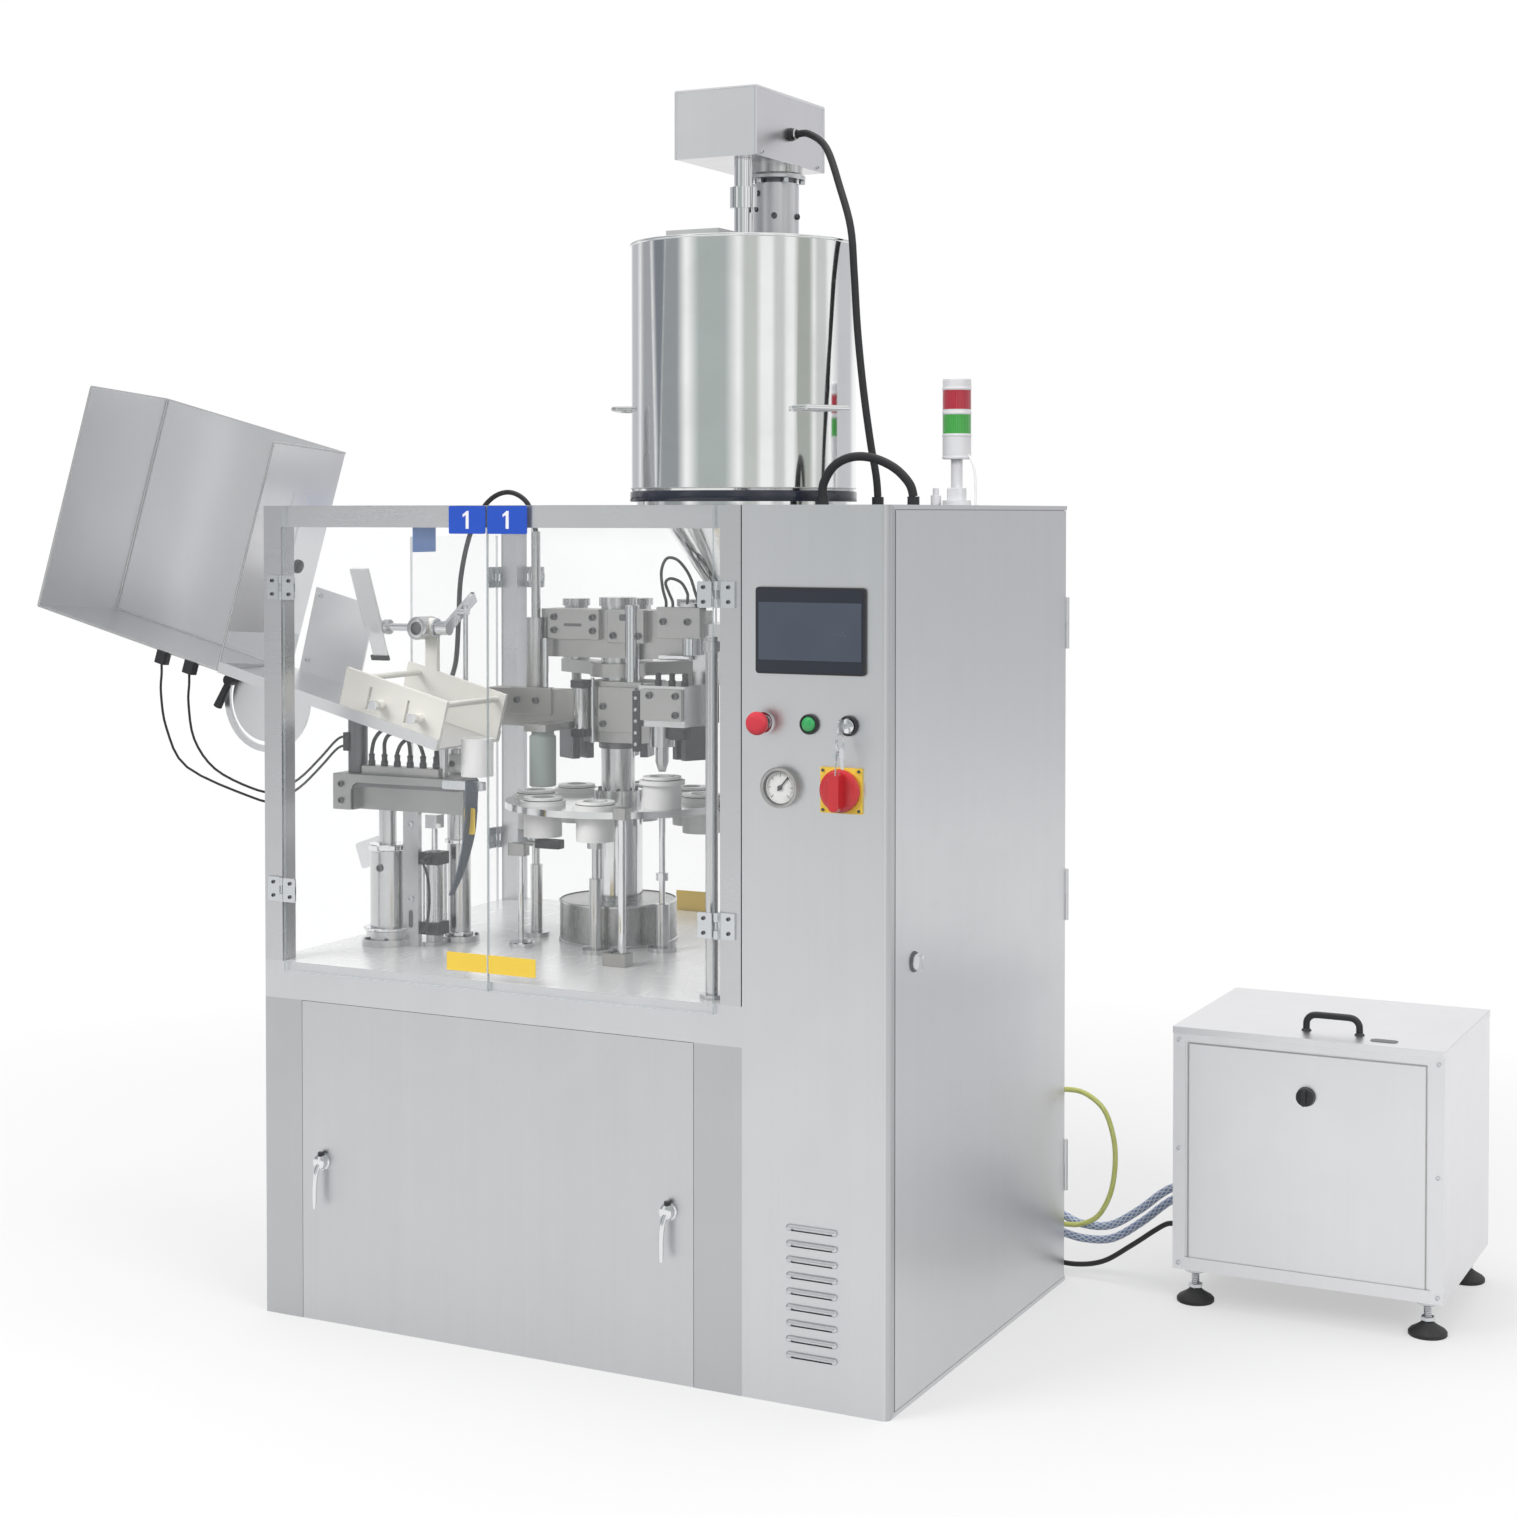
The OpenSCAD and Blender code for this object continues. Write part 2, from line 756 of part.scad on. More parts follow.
// A swing handle: a hanging bent lever outside, a pin through the cover and a tongue inside
module swing_handle(x) {
    out = 14;
    tongue = [y_f + 4 * sheet + near, y_f + 6 * sheet];
    color(polished)
        union() {
            rod_y([x, handle_z], handle_pin_r, [y_f - out, tongue[1]]);
            rod_y([x, handle_z], 2 * handle_pin_r, [y_f - out, y_f - near]);
            block([x - handle_pin_r, x + handle_pin_r], [y_f - out, y_f - out + 8],
                [handle_z - handle_len, handle_z]);
            rod_y([x, handle_z - handle_len], handle_pin_r, [y_f - 2 * out, y_f - out + 8]);
            block([x - handle_pin_r, x + handle_pin_r], tongue, [handle_z - handle_in - 12, handle_z]);
        }
}

module cover_handle_left() {
    swing_handle(handle_xs[0]);
}

module cover_handle_right() {
    swing_handle(handle_xs[1]);
}

module tower_door() {
    z0 = tower_margin + seam;
    z1 = cab_h - tower_margin - seam;
    color(steel)
        difference() {
            union() {
                block([x_r - sheet, x_r], [y_f + tower_return + seam, y_b - knuckle_r - seam], [z0, z1]);
                for (z = knuckle_zs()) {
                    block([x_r - sheet, x_r], [y_b - 3 * knuckle_r, y_b], [z, z + knuckle_h]);
                    rod([x_r, y_b], knuckle_r, [z, z + knuckle_h]);
                }
            }
            for (z = knuckle_zs())
                rod([x_r, y_b], pin_r + run, [z - knuckle_h, z + 2 * knuckle_h]);
            rod_x([lock_y, lock_z], lock_r + run, [x_r - 2 * sheet, x_r + eps]);
        }
}

// Turn lock of the side door, with a wing outside and a cam inside
module tower_lock() {
    color(polished)
        union() {
            rod_x([lock_y, lock_z], lock_r, [x_r - 4 * sheet, x_r + near]);
            rod_x([lock_y, lock_z], 14, [x_r + near, x_r + 6]);
            block([x_r + 6 - eps, x_r + 16], [lock_y - 2.5, lock_y + 2.5], [lock_z - 12, lock_z + 12]);
            block([x_r - 4 * sheet, x_r - sheet - near], [lock_y - 8, lock_y + 8], [lock_z, lock_z + 90]);
        }
}

module hmi_panel() {
    color(black)
        union() {
            block([hmi_x - hmi_w / 2, hmi_x + hmi_w / 2], [y_f - hmi_proud, y_f],
                [hmi_z - hmi_h / 2, hmi_z + hmi_h / 2]);
            block([hmi_x - hmi_w / 2 + hmi_rim + near, hmi_x + hmi_w / 2 - hmi_rim - near],
                [y_f - eps, y_f + hmi_body],
                [hmi_z - hmi_h / 2 + hmi_rim + near, hmi_z + hmi_h / 2 - hmi_rim - near]);
        }
}

// Chromed rings round the switches, with their threaded bodies, and the gauge's case
module panel_bezels() {
    color(polished) {
        for (x = switch_xs)
            difference() {
                union() {
                    rod_y([x, switch_z], x == stop_x ? stop_r - 2 : ring_r, [y_f - ring_out, y_f]);
                    rod_y([x, switch_z], panel_hole_r, [y_f - eps, y_f + 40]);
                }
                rod_y([x, switch_z], ring_in, [y_f - ring_out - eps, y_f - 2]);
                rod_y([x, switch_z], 6 + run, [y_f - ring_out, y_f + 20]);
            }
        difference() {
            union() {
                rod_y([gauge_x, gauge_z], gauge_r, [y_f - 14, y_f]);
                rod_y([gauge_x, gauge_z], gauge_r - 5, [y_f - eps, y_f + 20]);
            }
            rod_y([gauge_x, gauge_z], gauge_r - 4, [y_f - 15, y_f - 6]);
            rod_y([gauge_x, gauge_z], 2 + run, [y_f - 10, y_f]);
        }
    }
}

module estop_head() {
    color(red)
        union() {
            rod_y([stop_x, switch_z], stop_r, [y_f - 33, y_f - 20]);
            rod_y([stop_x, switch_z], 12, [y_f - 21, y_f - 10]);
            rod_y([stop_x, switch_z], 6, [y_f - 11, y_f + 12]);
        }
}

module start_button() {
    color(green)
        union() {
            rod_y([start_x, switch_z], button_r, [y_f - 9, y_f - 4.5]);
            rod_y([start_x, switch_z], 6, [y_f - 5, y_f + 12]);
        }
}

// Key switch: the barrel with a key in it and a ring of spare keys that hangs from it
module key_switch() {
    color(polished)
        union() {
            rod_y([key_x, switch_z], ring_in - 1, [y_f - 8, y_f - 2 - near]);
            rod_y([key_x, switch_z], 6, [y_f - 3, y_f + 12]);
            block([key_x - 1.2, key_x + 1.2], [y_f - 22, y_f - 7], [switch_z - 4, switch_z + 4]);
            block([key_x - 1.2, key_x + 1.2], [y_f - 44, y_f - 21], [switch_z - 13, switch_z + 13]);
            difference() {
                rod_x([y_f - 36, switch_z - 26], 18, [key_x - 1, key_x + 1]);
                rod_x([y_f - 36, switch_z - 26], 16, [key_x - 2, key_x + 2]);
            }
            block([key_x - 3, key_x - 0.8], [y_f - 56, y_f - 37], [switch_z - 66, switch_z - 40]);
            block([key_x - 3, key_x - 0.8], [y_f - 51, y_f - 42], [switch_z - 92, switch_z - 65]);
        }
}

module gauge_needle() {
    color(black)
        union() {
            rod_y([gauge_x, gauge_z], 4, [y_f - 10, y_f - 7]);
            rod_y([gauge_x, gauge_z], 2, [y_f - 10, y_f - 1]);
            translate([gauge_x, y_f - 9, gauge_z])
                rotate([0, 40, 0])
                    block([-1, 1], [0, 1.5], [-7, gauge_r - 10]);
        }
}

module switch_plate() {
    color(yellow)
        difference() {
            block([main_x - plate_w / 2, main_x + plate_w / 2], [y_f - 4, y_f],
                [gauge_z - plate_w / 2, gauge_z + plate_w / 2]);
            rod_y([main_x, gauge_z], 6 + run, [y_f - 5, y_f + eps]);
        }
}

module switch_knob() {
    color(red)
        union() {
            rod_y([main_x, gauge_z], knob_r, [y_f - 14, y_f - 4 - near]);
            block([main_x - 9, main_x + 9], [y_f - 36, y_f - 13],
                [gauge_z - knob_r + 2, gauge_z + knob_r - 2]);
            rod_y([main_x, gauge_z], 6, [y_f - 5, y_f + 20]);
        }
}

// Middle column with the index drive's round cover at its foot and a cap on its top
module main_column() {
    color(polished)
        union() {
            rod([table_x, table_y], can_r, [deck_top, can_z]);
            rod([table_x, table_y], column_r, [deck_top, column_z]);
            rod([table_x, table_y], column_r + 4, [column_z, column_z + 17]);
        }
}

// Gear box and motor of the index drive, below the deck
module index_drive() {
    low = deck_under - 240;
    color([0.30, 0.38, 0.45])
        union() {
            block([table_x - 110, table_x + 110], [table_y - 110, table_y + 110], [low, deck_under]);
            rod_x([table_y, low + 110], 75, [table_x + 100, table_x + 130]);
            rod_x([table_y, low + 110], 65, [table_x + 120, table_x + 330]);
            block([table_x + 190, table_x + 270], [table_y - 95, table_y - 50], [low + 70, low + 150]);
        }
}

// Upper beam and the clamped arms on the column
module head_beam() {
    color(steel)
        difference() {
            union() {
                block([table_x - 162, valve_x[0]], [table_y - 36, table_y + 36], beam_z);
                block([table_x - 50, table_x + 80], [table_y - 50, table_y + 50], clamp_z);
                block([table_x - 263, table_x - 45], [table_y - 70, table_y - 30], press_z);
                block([table_x - 263, table_x - 140], [table_y - 70, table_y - 12], press_z);
                block([table_x + 75, fill_at[0] - 33], [table_y - 45, table_y + 20], arm_z);
                for (x = [table_x - 20, table_x + 50])
                    rod_y([x, clamp_z[0] + 60], 7, [table_y - 56, table_y - 45]);
            }
            rod([table_x, table_y], column_r + run, [clamp_z[0] - eps, column_z]);
            rod(load_at, press_rod_r + run, [press_z[0] - eps, press_z[1] + eps]);
            rod(load_at, press_r + run, [beam_z[0] - eps, beam_z[1] + eps]);
            rod(load_at, press_pad_r + 1, [press_z[0] - eps, press_z[0] + 14]);
        }
}

// Tools over the sealing stations: air cylinders on a star of arms, each with a block and two jaws below
module station_heads() {
    color(polished)
        difference() {
            union() {
                rod([table_x, table_y], column_r + 22, star_z);
                for (i = tool_is)
                    translate([table_x, table_y, 0])
                        rotate([0, 0, station_a0 + i * station_step])
                            station_tool();
                rod(load_at, press_r, [press_z[1], press_top]);
                rod(load_at, 9, [press_top - 1, press_stem]);
            }
            rod([table_x, table_y], column_r + run, [star_z[0] - eps, star_z[1] + eps]);
            rod(load_at, press_rod_r + run, [press_z[1] - eps, press_top - 5]);
        }
}

module station_tool() {
    block([column_r, station_r + 24], [-22, 22], star_z);
    rod([station_r, 0], 24, [star_z[1] - eps, star_z[1] + 120]);
    rod([station_r, 0], 28, [star_z[1] - eps, star_z[1] + 14]);
    rod([station_r, 0], 28, [star_z[1] + 108, star_z[1] + 122]);
    rod([station_r, 0], 10, [tool_z[1] - 2, star_z[0] + eps]);
    block([station_r - 34, station_r + 34], [-26, 26], tool_z);
    for (s = [-1, 1])
        block([station_r - 28, station_r + 28], [s * 16 - 8, s * 16 + 8], jaw_z);
}

module press_ram() {
    color(polished)
        union() {
            rod(load_at, press_rod_r, [press_pad_z + 8, press_top - 10]);
            rod(load_at, press_pad_r, [press_pad_z, press_pad_z + 12]);
        }
}

// Filling valve under the hopper's outlet, the nozzle over the lifted holder and the dosing pump on the deck
module fill_valve() {
    nozzle_z = holder_z1 + lift + 9;
    color(polished)
        union() {
            block(valve_x, [hopper_y - 50, hopper_y + 50], [arm_z[1], outlet_z]);
            block([fill_at[0] - 33, valve_x[0] + 20], [fill_at[1] - 32, hopper_y + 20], arm_z);
            block([valve_x[0] - 1, valve_x[0] + 20], [hopper_y - 50, hopper_y + 20],
                [arm_z[1] - 1, arm_z[1] + 22]);
            rod(fill_at, 24, [nozzle_top, arm_z[0] + eps]);
            rod(fill_at, 13, [nozzle_z + 18, nozzle_top + 1]);
            translate([fill_at[0], fill_at[1], nozzle_z])
                cylinder(r1 = 7, r2 = 13, h = 19);
            rod(pump_at, 38, [pump_z, arm_z[1] + 1]);
            rod(pump_at, 13, [deck_top, pump_z + 1]);
            rod(pump_at, 30, [deck_top, deck_top + 14]);
        }
}

module turntable() {
    color(polished)
        difference() {
            union() {
                rod([table_x, table_y], table_r, [table_low, table_z]);
                rod([table_x, table_y], hub_r, [can_z + near, table_z + 20]);
            }
            rod([table_x, table_y], column_r + run, [can_z - eps, table_z + 21]);
            for (i = [0 : stations - 1])
                rod(station(i), holder_r + run, [table_low - eps, table_z + eps]);
        }
}

module tube_holder(at, up = 0) {
    floor_z = holder_z0 + 10;
    translate([at[0], at[1], up])
        difference() {
            union() {
                rod([0, 0], holder_r, [holder_z0, holder_z1]);
                rod([0, 0], holder_rim_r, [table_z, table_z + 8]);
            }
            rod([0, 0], holder_bore_r, [floor_z, holder_z1 + eps]);
            rod([0, 0], rod_hole_r, [holder_z0 - eps, floor_z + eps]);
        }
}

module tube_holders() {
    color(white)
        for (i = front_is)
            tube_holder(station(i));
}

module rear_holders() {
    color(white)
        for (i = rear_is)
            tube_holder(station(i));
}

module lifted_holder() {
    color(white)
        tube_holder(fill_at, lift);
}

// Lift rod at the filling station, up at rest, and the guide it runs in
module lift_rod() {
    top = holder_z0 + lift - near;
    color(polished)
        union() {
            rod(fill_at, lift_r, [deck_top + lift + 8, top]);
            rod(fill_at, lift_r * 2, [guide_z + lift + near, guide_z + lift + 15]);
        }
}

module lift_guides() {
    under = holder_z0 - 2;
    color(polished) {
        difference() {
            union() {
                rod(fill_at, 14, [deck_top, guide_z]);
                rod(fill_at, 28, [deck_top, deck_top + 9]);
            }
            rod(fill_at, lift_r + run, [deck_top + 4, guide_z + eps]);
        }
        for (at = [station(1), load_at]) {
            rod(at, 7, [deck_top, under]);
            rod(at, 12, [deck_top, under - 70]);
            rod(at, 26, [deck_top, deck_top + 9]);
            rod(at, 16, [under - 12, under]);
        }
    }
}

// Hopper: a turned shell with a round shoulder and a cone, a seat ring and two grip rods
module hopper() {
    w = hopper_wall;
    z = hopper_z0;
    color(polished)
        union() {
            translate([hopper_x, hopper_y, 0])
                rotate_extrude($fn = 96)
                    polygon([
                        [outlet_r, outlet_z], [cone_r, z - 4], [shoulder_r, z], [hopper_r - 4, z + 7],
                        [hopper_r, z + 21], [hopper_r, hopper_z], [hopper_r - w, hopper_z],
                        [hopper_r - w, z + 22], [hopper_r - 6, z + 9], [shoulder_r - 1, z + w],
                        [cone_r - 1, z - 4 + w + 1], [outlet_r - w, outlet_z + w], [outlet_r - w, outlet_z]
                    ]);
            difference() {
                rod([hopper_x, hopper_y], shoulder_r + 5, [collar_z, z + 1]);
                rod([hopper_x, hopper_y], cone_r - 1, [collar_z - eps, z + 2]);
            }
            for (a = [-25, 155])
                translate([hopper_x, hopper_y, grip_z])
                    rotate([0, 0, a])
                        grip();
        }
}

module grip() {
    reach = hopper_r + 36;
    for (s = [-1, 1])
        rod_x([s * 45, 0], 5, [hopper_r - 7, reach]);
    rod_y([reach, 0], 5, [-50, 50]);
}

// Stirrer drive: the housing, its pedestal and the bridge across the hopper
module stirrer_drive() {
    half = sqrt(hopper_r * hopper_r - bridge_w * bridge_w / 4) - 1;
    color(steel)
        difference() {
            union() {
                block(drive_x, [drive_y0, drive_y0 + drive_d], [drive_z0, drive_z0 + drive_h]);
                rod([hopper_x, pedestal_y], pedestal_r, [bridge_z - eps, drive_z0 + eps]);
                rod([hopper_x, pedestal_y], 52, [bridge_z - eps, bridge_z + 14]);
                rod([hopper_x, pedestal_y], 52, [drive_z0 - 14, drive_z0 + eps]);
                block([hopper_x - bridge_w / 2, hopper_x + bridge_w / 2], [hopper_y - half, hopper_y + half],
                    [hopper_z, bridge_z]);
                rod_x(drive_gland, gland_r, [drive_x[1] - eps, drive_x[1] + gland_h]);
            }
            rod([hopper_x, hopper_y], stirrer_r + run, [hopper_z - eps, bridge_z + eps]);
        }
}

module stirrer() {
    color(polished)
        union() {
            rod([hopper_x, hopper_y], stirrer_r, [paddle_z, drive_z0 - near]);
            rod([hopper_x, hopper_y], stirrer_r + 8, [bridge_z + 60, bridge_z + 100]);
            for (i = [0 : 2])
                translate([hopper_x, hopper_y, paddle_z + 50 + i * blade_step])
                    rotate([0, 0, 30 + i * 60])
                        block([-110, 110], [-5, 5], [0, 40]);
        }
}

module at_feed() {
    translate(feed_at)
        rotate([0, feed_slope, 0])
            children();
}

module at_magazine() {
    at_feed()
        translate([mag_t, 0, 0])
            rotate([-mag_roll, 0, 0])
                children();
}

// Tube magazine: an open box that leans with the chute, its right wall raised over a gate for the tubes
module magazine() {
    color(steel)
        at_magazine()
            difference() {
                block([-mag_w, 0], [0, mag_d], [0, mag_h]);
                block([-mag_w + mag_t, -mag_t], [-eps, mag_d - mag_t], [mag_t, mag_h + eps]);
                block([-mag_t - eps, eps], [mag_t, mag_d - mag_t], [mag_t + 12, mag_gate]);
                for (y = [0.42, 0.58])
                    block([-2 * mag_t, eps], [y * mag_d, y * mag_d + 8], [mag_h * 0.55, mag_h * 0.8]);
            }
}

// Chute: a sloping floor with a front rail, a high back panel and a round tilt plate with a curved slot
module chute() {
    panel = [40, 190];
    color(steel)
        union() {
            at_feed() {
                block([mag_t + seam, chute_len], [0, chute_d], [-chute_in, 0]);
                block([mag_t + seam, chute_len], [0, chute_in], [-chute_in, 18]);
                block(panel, [chute_d - chute_in, chute_d], [-eps, 175]);
                block([panel[1] - eps, chute_len], [chute_d - chute_in, chute_d], [-eps, 18]);
            }
            difference() {
                rod_y(quad_at, quad_r, [quad_y, quad_y + quad_t]);
                at_feed() block([-wide, wide], [-wide, wide], [-chute_in + eps, wide]);
                at_magazine() block([-mag_w, seam], [0, mag_d], [0, mag_h]);
                intersection() {
                    difference() {
                        rod_y(quad_at, quad_slot_r + quad_slot / 2, [quad_y - eps, quad_y + quad_t + eps]);
                        rod_y(quad_at, quad_slot_r - quad_slot / 2,
                            [quad_y - 2 * eps, quad_y + quad_t + 2 * eps]);
                    }
                    block([quad_at[0] - quad_r, quad_at[0]], [quad_y - eps, quad_y + quad_t + eps],
                        [quad_at[1] - quad_r, quad_at[1] + quad_slot_r / 2]);
                }
            }
        }
}

// Pale side plates of the chute's lower end, with slots and thumb screws, and the rocker's bearing post
module guide_plates() {
    inner = [chute_in + near, chute_d - chute_in - near];
    color(cream)
        union() {
            at_feed() {
                difference() {
                    block([plate_x, chute_len], [inner[0], inner[0] + plate_t], [near, plate_h]);
                    for (x = [plate_x + 60, plate_x + 150])
                        block([x, x + 7], [inner[0] - eps, inner[0] + plate_t + eps], [25, 70]);
                }
                block([plate_x, chute_len], [inner[1] - plate_t, inner[1]], [near, plate_h]);
                for (x = [plate_x + 30, chute_len - 20])
                    rod_y([x, plate_h - 14], 6, [inner[0] + eps, inner[1] - eps]);
                for (x = [plate_x + 95, plate_x + 185])
                    rod_y([x, 45], 9, [-12, inner[0] + eps]);
            }
            difference() {
                union() {
                    block([bearing_x - 14, bearing_x + 14],
                        [feed_y + inner[1] - plate_t, feed_y + inner[1] + 2], [feed_gland[1], rocker_z]);
                    rod_x([rocker_y, rocker_z], bearing_r,
                        [bearing_x - bearing_w / 2, bearing_x + bearing_w / 2]);
                }
                rod_x([rocker_y, rocker_z], rocker_r + run, [bearing_x - bearing_w, bearing_x + bearing_w]);
            }
            rod_y(feed_gland, 9, [feed_y + inner[1] - 2, -58]);
        }
}

// Rocker over the chute: a shaft with a slotted lever and a link at one end and a flap holder at the other
module rocker() {
    color(polished)
        translate([0, rocker_y, rocker_z])
            union() {
                rod_x([0, 0], rocker_r, rocker_x);
                rod_x([0, 0], 13, [rocker_x[0], rocker_x[0] + 26]);
                rod_x([0, 0], 14, [bearing_x + bearing_w / 2 + near, rocker_x[1]]);
                rod_x([0, 0], 13, [bearing_x - bearing_w / 2 - near - 8, bearing_x - bearing_w / 2 - near]);
                rotate([31, 0, 0])
                    difference() {
                        block([rocker_x[1] - 12, rocker_x[1] - 3], [0, 115], [-11, 11]);
                        block([rocker_x[1] - 13, rocker_x[1]], [30, 100], [-4, 4]);
                    }
                rod([rocker_x[1] + 3, 52], 5, [-120, 45]);
                rod_x([52, 31], 7, [rocker_x[1] - 4, rocker_x[1] + 9]);
            }
}

// Clear flap on the rocker, which holds back the next tube
module feed_flap() {
    color(clear)
        translate([0, rocker_y, rocker_z])
            rotate([22, 0, 0])
                difference() {
                    block([rocker_x[0] - 16, rocker_x[0] + 26], [-16.5, -13], [-66, 132]);
                    block([rocker_x[0] - 17, rocker_x[0] - 10], [-17, -12], [-67, 20]);
                }
}

// Stand of the feed: a cast cross piece on a sleeved column and a flat bar, two short posts to the chute,
// the air cylinder that stands under it and the swinging cup's column
module feed_stand() {
    first_at = [-530, cast_y];
    color(steel) {
        union() {
            difference() {
                block(cast_x, [cast_y - cast_d / 2, cast_y + cast_d / 2], cast_z);
                block([cast_x[0] + 45, cast_x[1] + eps],
                    [cast_y - cast_d / 2 - eps, cast_y - cast_d / 2 + 20], [cast_z[0] - eps, cast_z[1] - 24]);
            }
            rod(first_at, 17, [deck_top, cast_z[0] + eps]);
            rod(first_at, 34, [deck_top, deck_top + 185]);
            rod(first_at, 50, [deck_top, deck_top + 14]);
            rod(first_at, 42, [deck_top, deck_top + 30]);
            block([-490, -455], [cast_y - 6, cast_y + 6], [deck_top, cast_z[0] + eps]);
            for (x = [-600, -400])
                difference() {
                    rod([x, cast_y], 11, [cast_z[1] - eps, cast_z[1] + 200]);
                    at_feed() block([-wide, wide], [-wide, wide], [-chute_in, wide]);
                }
            loader_column();
        }
        air_cylinder();
    }
}

module loader_column() {
    rod(loader_at, 23, [deck_top, hub_z[0] - near]);
    rod(loader_at, 40, [deck_top, deck_top + 12]);
    rod(loader_at, spindle_r, [hub_z[0] - 1, hub_z[1] + 12]);
    rod(loader_at, spindle_r + 6, [hub_z[1] + near, hub_z[1] + 10]);
}

// Swinging cup that carries a tube from the chute to the loading station
module loader_cup() {
    color(white)
        difference() {
            union() {
                rod(loader_at, loader_hub_r, hub_z);
                translate([loader_at[0], loader_at[1], 0])
                    rotate([0, 0, -43.5])
                        block([spindle_r + 4, loader_arm - cup_bore_r - 1], [-13, 13], loader_arm_z);
                rod(cup_at, cup_r, [loader_arm_z[0], cup_z[1]]);
            }
            rod(loader_at, spindle_r + run, [hub_z[0] - eps, hub_z[1] + eps]);
            rod(cup_at, cup_bore_r, [loader_arm_z[0] - eps, cup_z[1] + eps]);
        }
}

// Air cylinder under the cast cross piece: its body stands on the deck and its rod reaches up
module air_cylinder() {
    difference() {
        union() {
            rod(air_at, air_r, air_z);
            for (z = [air_z[0], air_z[1] - 24])
                block([air_at[0] - 20, air_at[0] + 20], [air_at[1] - 20, air_at[1] + 20], [z, z + 24]);
            block([air_at[0] - 9, air_at[0] + 9], [air_at[1] - 16, air_at[1] + 16],
                [deck_top + 8, air_z[0] + eps]);
            block([air_at[0] - 14, air_at[0] + 14], [air_at[1] - 22, air_at[1] + 22],
                [deck_top, deck_top + 9]);
        }
        rod(air_at, air_rod_r + run, [air_z[0] + 40, air_z[1] + eps]);
    }
}

module cylinder_rod() {
    color(polished)
        union() {
            rod(air_at, air_rod_r, [air_z[0] + 90, cast_z[0] - 22]);
            block([air_at[0] - 13, air_at[0] + 13], [air_at[1] - 13, air_at[1] + 13],
                [cast_z[0] - 34, cast_z[0] - 8]);
        }
}

// Black clamp lever in the curved slot of the tilt plate
module clamp_lever() {
    front = quad_y - near;
    color(black)
        union() {
            rod_y(clamp_at, clamp_r, [front - 20, quad_y + quad_t + 14]);
            rod_y(clamp_at, 11, [front - 22, front]);
            rod_y(clamp_at, 9, [quad_y + quad_t + near, quad_y + quad_t + 14]);
            translate([clamp_at[0], front - 14, clamp_at[1]])
                rotate([0, -150, 0])
                    cylinder(r1 = 7, r2 = 9, h = 62);
        }
}

module lamp_stem() {
    color([0.55, 0.56, 0.58])
        union() {
            rod(lamp_at, lamp_r, [cab_h, cab_h + 10]);
            rod(lamp_at, 11, [cab_h, lamp_z0 + eps]);
            rod(lamp_at, lamp_r, [lamp_z0, lamp_z0 + 48]);
            rod(lamp_at, lamp_r - 3, [lamp_z0 + 47, lamp_z0 + 48 + 2 * lens_h + 10]);
            rod(lamp_at, lamp_r, [lamp_z0 + 48 + lens_h, lamp_z0 + 58 + lens_h]);
            rod(lamp_at, lamp_r, [lamp_z0 + 58 + 2 * lens_h, lamp_z0 + 76 + 2 * lens_h]);
        }
}

module lens(z) {
    difference() {
        rod(lamp_at, lamp_r, [z, z + lens_h]);
        rod(lamp_at, lamp_r - 3, [z - eps, z + lens_h + eps]);
    }
}

module lamp_lenses() {
    color(green)
        lens(lamp_z0 + 48);
    color(red)
        lens(lamp_z0 + 58 + lens_h);
}

// Cooling unit: a folded casing, open below, with a framed front, foot plates and hose fittings
module chiller_shell() {
    frame_w = 24;
    color(steel)
        union() {
            difference() {
                block([cool_x0, cool_x1], [cool_y, cool_y1], [cool_foot, cool_top]);
                block([cool_x0 + sheet, cool_x1 - sheet], [cool_y + 2 * sheet, cool_y1 - sheet],
                    [cool_foot - eps, cool_top - sheet]);
                block([cool_x0 + frame_w, cool_x1 - frame_w], [cool_y - eps, cool_y + sheet],
                    [cool_foot + frame_w, cool_top - frame_w]);
                rod_y([cool_xm, knob_z], 8 + run, [cool_y - eps, cool_y + 3 * sheet]);
            }
            for (x = [cool_x0 + sheet - eps, cool_x1 - 2 * foot_in])
                for (y = [cool_y + 2 * sheet - eps, cool_y1 - 2 * foot_in])
                    block([x, x + 2 * foot_in - sheet + eps], [y, y + 2 * foot_in - sheet + eps],
                        [cool_foot, cool_foot + sheet]);
            for (p = cool_ends)
                rod_x(p, gland_r, [cool_end, cool_x0 + eps]);
        }
}

// Levelling feet and the carrying handle of the cooling unit
module chiller_fittings() {
    color(black) {
        for (x = [cool_x0 + foot_in, cool_x1 - foot_in])
            for (y = [cool_y + foot_in, cool_y1 - foot_in])
                translate([x, y, 0]) {
                    cylinder(r = 26, h = 8);
                    translate([0, 0, 8 - eps])
                        cylinder(r1 = 26, r2 = 12, h = 14);
                    cylinder(r = 6, h = cool_foot);
                }
        for (s = [-1, 1])
            rod([cool_xm + 32 + s * 48, cool_y + 75], 8, [cool_top, cool_top + 32]);
        rod_x([cool_y + 75, cool_top + 30], 9, [cool_xm + 32 - 60, cool_xm + 32 + 60]);
    }
}

module chiller_knob() {
    color(black)
        union() {
            rod_y([cool_xm, knob_z], 17, [cool_y - 12, cool_y + sheet - near]);
            rod_y([cool_xm, knob_z], 8, [cool_y, cool_y + 6 * sheet]);
            block([cool_xm - 4, cool_xm + 4], [cool_y - 18, cool_y - 11], [knob_z - 14, knob_z + 14]);
        }
}

module stirrer_cable() {
    color(black)
        cord(smooth(stirrer_route, 2), 7, [0, 1, 0]);
}

module hopper_hose() {
    color(black)
        cord(smooth(hopper_route, 1), 9, [0, 1, 0]);
}

module feed_hose() {
    color(black)
        cord(smooth(feed_route, 2), 5, [1, 0.2, 0.1]);
}

